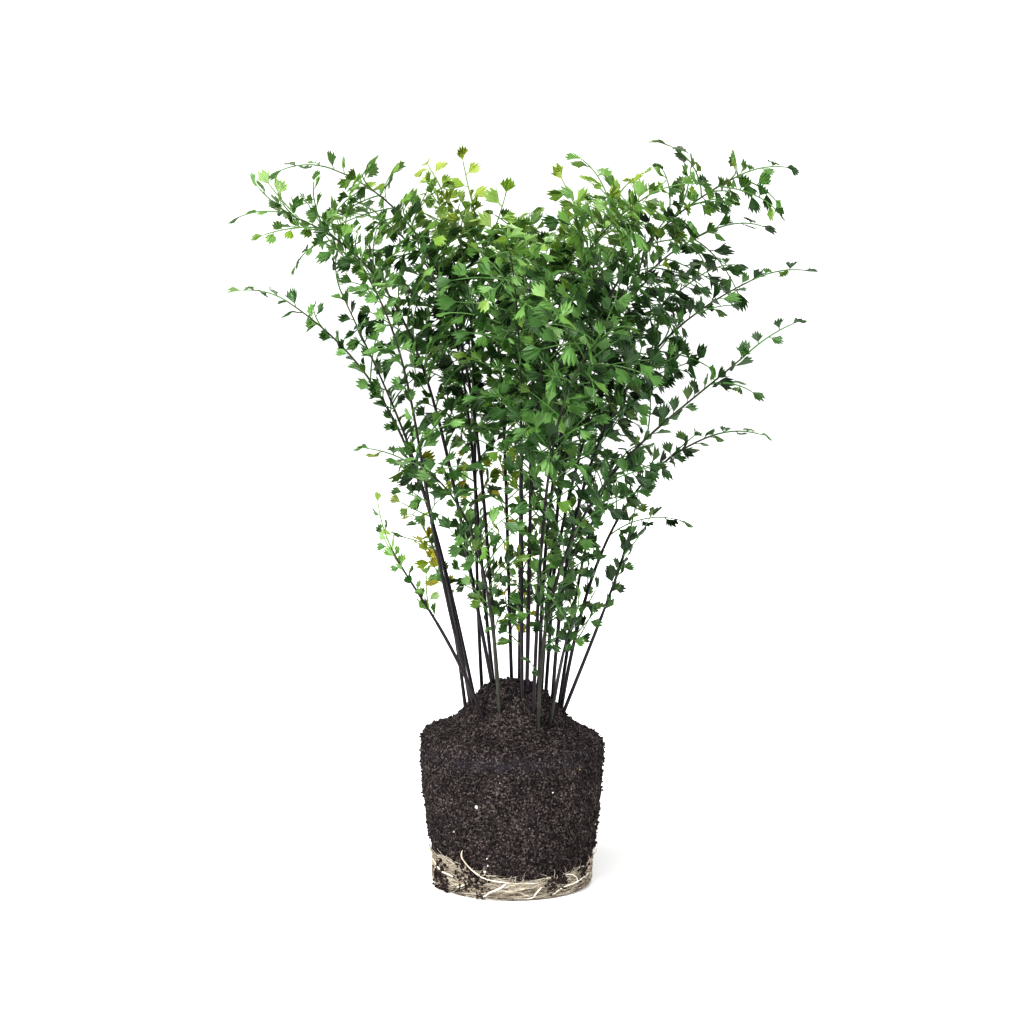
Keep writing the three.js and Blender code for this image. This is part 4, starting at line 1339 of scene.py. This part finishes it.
def lumpy_body(name, material, slot, replaced, lumps, profile, edge_rings, left_rise):
    """A turned body, rounded, with its lumps, its finish and its name."""
    obj = turned_body(profile, edge_rings, left_rise)
    apply_modifier(obj, "SUBSURF", levels=3, render_levels=3)
    for kind, size, strength, settings in lumps:
        displace(obj, kind, size, strength, settings)
    obj.name = name
    obj.data.name = name
    obj.data.materials.append(material)
    select_only(obj)
    bpy.ops.object.shade_smooth()
    return dress(obj, slot, replaced)


# The soil's foot is tucked inside the mat, and its wall bulges out over the mat's torn edge.
soil = lumpy_body("soil_body", soil_material(), "soil", "soil_ball", SOIL_LUMPS,
                  SOIL_PROFILE, SOIL_EDGE_RINGS, SOIL_LEFT_RISE)
crumb_finish = crumb_material()
lumpy_body("rootlet_mat", mat_material(), "root_mat", "root_mat", MAT_LUMPS, MAT_PROFILE, MAT_EDGE_RINGS, {})
soil_points = read_vectors(soil.data.vertices, "co") / MM
soil_normals = read_vectors(soil.data.vertices, "normal")


def at_angle(radius, degrees, height):
    """A place by its distance from the axis, its degrees round it and its height."""
    angle = math.radians(degrees)
    return np.array((radius * math.cos(angle), radius * math.sin(angle), height))


def spun(draw, scale):
    """A random turn and uneven stretch, as a matrix."""
    basis, _ = np.linalg.qr(draw.stream.normal(size=(3, 3)))
    if np.linalg.det(basis) < 0:
        basis[:, 0] *= -1
    return (basis * scale) @ np.diag(1 + CRUMB_STRETCH * draw.stream.uniform(-1, 1, 3))


def some_of(limits, rarity, draw):
    """A value from the least upwards, more seldom near the top the greater the rarity."""
    least, more = limits
    return least + more * abs(draw()) ** rarity


def soil_tint(tones, cast, draw):
    tone = some_of(tones, 2, draw)
    return tuple(tone * part for part in cast)


def add_crumb(growth, centre, size, tint, draw):
    pattern = draw.choose(CRUMBS)
    growth.add(pattern, centre + pattern.points @ spun(draw, size).T, tint=tint)


draw = Draws(CRUMB_SEED)
loose = Growth()
from_axis = np.hypot(soil_points[:, 0], soil_points[:, 1])
outer = np.flatnonzero((from_axis > CRUMB_WALL) | (soil_points[:, 2] > CRUMB_LEVEL))
for _ in range(CRUMB_COUNT):
    i = draw.choose(outer)
    size = some_of(CRUMB_SIZES, CRUMB_RARITY, draw)
    centre = soil_points[i] + soil_normals[i] * (CRUMB_LIFT * size) + draw.stream.uniform(-1, 1, 3)
    add_crumb(loose, centre, size, soil_tint(CRUMB_TONES, CRUMB_CAST, draw), draw)
for degrees, height, spread, crumbs in DARK_CLUMPS:
    for _ in range(crumbs):
        aside = 0.75 * (draw() + draw())
        level = height + spread * (0.9 * (draw() + draw()) + 0.5 * (1 - abs(aside)))
        size = some_of(CLUMP_SIZES, 1, draw)
        centre = at_angle(CLUMP_RADIUS, degrees + spread * aside, max(CLUMP_LEAST_HEIGHT, level))
        add_crumb(loose, centre, size, soil_tint(CLUMP_TONES, CLUMP_CAST, draw), draw)
dress(loose.build("loose_soil", crumb_finish), "soil")

# Each speck lies on the soil's wall, at the point nearest its angle and height.
specks = Growth()
for degrees, height, size, tint in SPECKS:
    aim = at_angle(FACE_RADIUS, degrees, height)
    i = int(np.argmin(((soil_points - aim) ** 2).sum(axis=1)))
    add_crumb(specks, soil_points[i] + soil_normals[i] * SPECK_LIFT * size, size, tint, draw)
dress(specks.build("perlite_specks", crumb_finish), "soil")


def ball_tube(growth, pattern, bends, radius, tint, lift=0.0):
    """A tube over the ball's face through (degrees, height, distance from the axis) bends."""
    bends = np.array(bends, float)
    spans = np.linspace(0, 1, len(bends))
    around = {}

    def place(t):
        key = round(t, 4)
        if key not in around:
            degrees, height, out = (smooth_interp(t, spans, bends[:, k]) for k in range(3))
            around[key] = at_angle(out + lift, degrees, height)
        return around[key]

    places = []
    for x, y, z in pattern.points:
        here = place(z)
        ahead = unit(place(min(z + TUBE_PROBE, 1)) - place(max(z - TUBE_PROBE, 0)))
        out = square_to(unit(here * (1, 1, 0)), ahead)
        side = np.cross(ahead, out)
        taper = min(1.0, TUBE_END + TUBE_TAPER * z, TUBE_END + TUBE_TAPER * (1 - z))
        places.append(here + (out * x + side * y) * radius * taper)
    growth.add(pattern, np.array(places), tint=tint)


def smooth_interp(t, spans, values):
    """Catmull-Rom through values."""
    i = min(int(np.searchsorted(spans, t, side="right")) - 1, len(spans) - 2)
    i = max(i, 0)
    s = (t - spans[i]) / (spans[i + 1] - spans[i])
    before, here, there, after = (values[max(0, min(len(values) - 1, i + k))] for k in (-1, 0, 1, 2))
    return 0.5 * (2 * here + (there - before) * s + (2 * before - 5 * here + 4 * there - after) * s ** 2
                  + (3 * here - before - 3 * there + after) * s ** 3)


def edge_height(degrees):
    """Height of the mat's torn edge at an angle."""
    angles = np.arange(0, 361, EDGE_STEP)
    return np.interp(degrees % 360, angles, MAT_EDGE + MAT_EDGE[:1])


def rootlet_bends(number, draw):
    """A rootlet that lies round the mat in a wavy line, and over the soil where it passes the torn edge."""
    degrees = 180 + 180 * draw()
    edge = edge_height(degrees)
    level = edge * (0.5 + 0.5 * draw()) + 0.5
    usual, more = ROOTLET_REACH
    reach = usual + more * draw()
    slope = ROOTLET_SLOPE * draw() * (STEEPER if number % STEEP_EVERY == 0 else 1)
    wave = [draw() for _ in range(ROOTLET_BENDS)]
    bends = []
    for k in range(ROOTLET_BENDS):
        share = (k - 2) / 2
        height = max(ROOTLET_LOWEST, level + slope * reach * share + ROOTLET_WAVE * wave[k])
        out = ROOTLET_FACE + 0.7 * wave[(k + 2) % ROOTLET_BENDS] - max(0, FOOT_HEIGHT - height) * FOOT_SLOPE
        if height > edge - 1:
            out = max(out, np.interp(height - edge, *OVER_EDGE))
        bends.append((degrees + reach * share + 0.5 * wave[k], height, out))
    return bends


def stray_bends(draw):
    """A stray end that stands up over the torn edge, on the soil."""
    degrees = 180 + 180 * draw()
    edge = edge_height(degrees)
    rise = 5 + 3.5 * draw()
    drift = 3.5 * draw()
    return [
        (degrees + drift * share ** 2, edge - STRAY_ROOT + (rise + STRAY_ROOT) * share,
         STRAY_FACE + STRAY_OUT * min(1, share * 1.4))
        for share in STRAY_BENDS
    ]


rootlets = Growth()
draw = Draws(ROOTLET_SEED)
for number in range(ROOTLET_COUNT):
    bends = rootlet_bends(number, draw)
    radius = some_of(ROOTLET_RADII, 1, draw)
    ball_tube(rootlets, FIBRE_ROD, bends, radius, (0.5 + 0.5 * draw(), 0, 0))
for _ in range(STRAY_COUNT):
    ball_tube(rootlets, FIBRE_ROD, stray_bends(draw), STRAY_RADIUS, (0.65 + 0.3 * draw(), 0, 0))
dress(rootlets.build("rootlets", rootlet_material()), "root_mat")

white = Growth()
for radius, bends in WHITE_ROOTS:
    ball_tube(white, ROOT_ROD, bends, radius, (0, 0, 0), lift=ROOT_LIFT * radius)
dress(white.build("white_roots", white_root_material()), "root_mat")


# ---------------------------------------------------------------- floor, light and camera

deselect_all()
bpy.ops.mesh.primitive_plane_add(size=FLOOR_SIZE, location=(0, 0, 0))
floor = bpy.context.object
floor.name = "studio_floor"
floor.data.materials.append(floor_material())


def aimed(way):
    """The turn that points a light or the camera along a way."""
    return way.to_track_quat("-Z", "Y").to_euler()


sun = bpy.data.lights.new("window_light", "SUN")
sun.energy = SUN_POWER
sun.angle = math.radians(SUN_SPREAD)
link_new("window_light", sun).rotation_euler = aimed(Vector(SUN_WAY))
for name, place, size, power in SOFTBOXES:
    light = bpy.data.lights.new(name, "AREA")
    light.shape = "DISK"
    light.size = size
    light.energy = power
    lamp = link_new(name, light)
    lamp.location = place
    lamp.rotation_euler = aimed(Vector(LIGHT_TARGET) - Vector(place))

# The studio's walls are white to the eye, and give a softer, dimmer light.
world = bpy.data.worlds.new("studio")
bpy.context.scene.world = world
world.use_nodes = True
tree = world.node_tree
backdrop = tree.nodes["Background"]
backdrop.inputs["Color"].default_value = (1, 1, 1, 1)
backdrop.inputs["Strength"].default_value = BACKDROP_LIGHT
dim = node(tree, "ShaderNodeBackground", Strength=ROOM_LIGHT)
dim.inputs["Color"].default_value = (1, 1, 1, 1)
blend = tree.nodes.new("ShaderNodeMixShader")
link(tree, tree.nodes.new("ShaderNodeLightPath").outputs["Is Camera Ray"], blend.inputs[0])
link(tree, dim.outputs[0], blend.inputs[1])
link(tree, backdrop.outputs[0], blend.inputs[2])
link(tree, blend.outputs[0], tree.nodes["World Output"].inputs["Surface"])
bpy.context.scene.view_settings.view_transform = "Standard"
bpy.context.scene.view_settings.look = "High Contrast"

camera = link_new("camera", bpy.data.cameras.new("camera"))
camera.location = CAMERA_PLACE
camera.rotation_euler = aimed(Vector(CAMERA_TARGET) - camera.location)
camera.data.sensor_width = CAMERA_SENSOR
camera.data.lens = CAMERA_LENS
bpy.context.scene.camera = camera
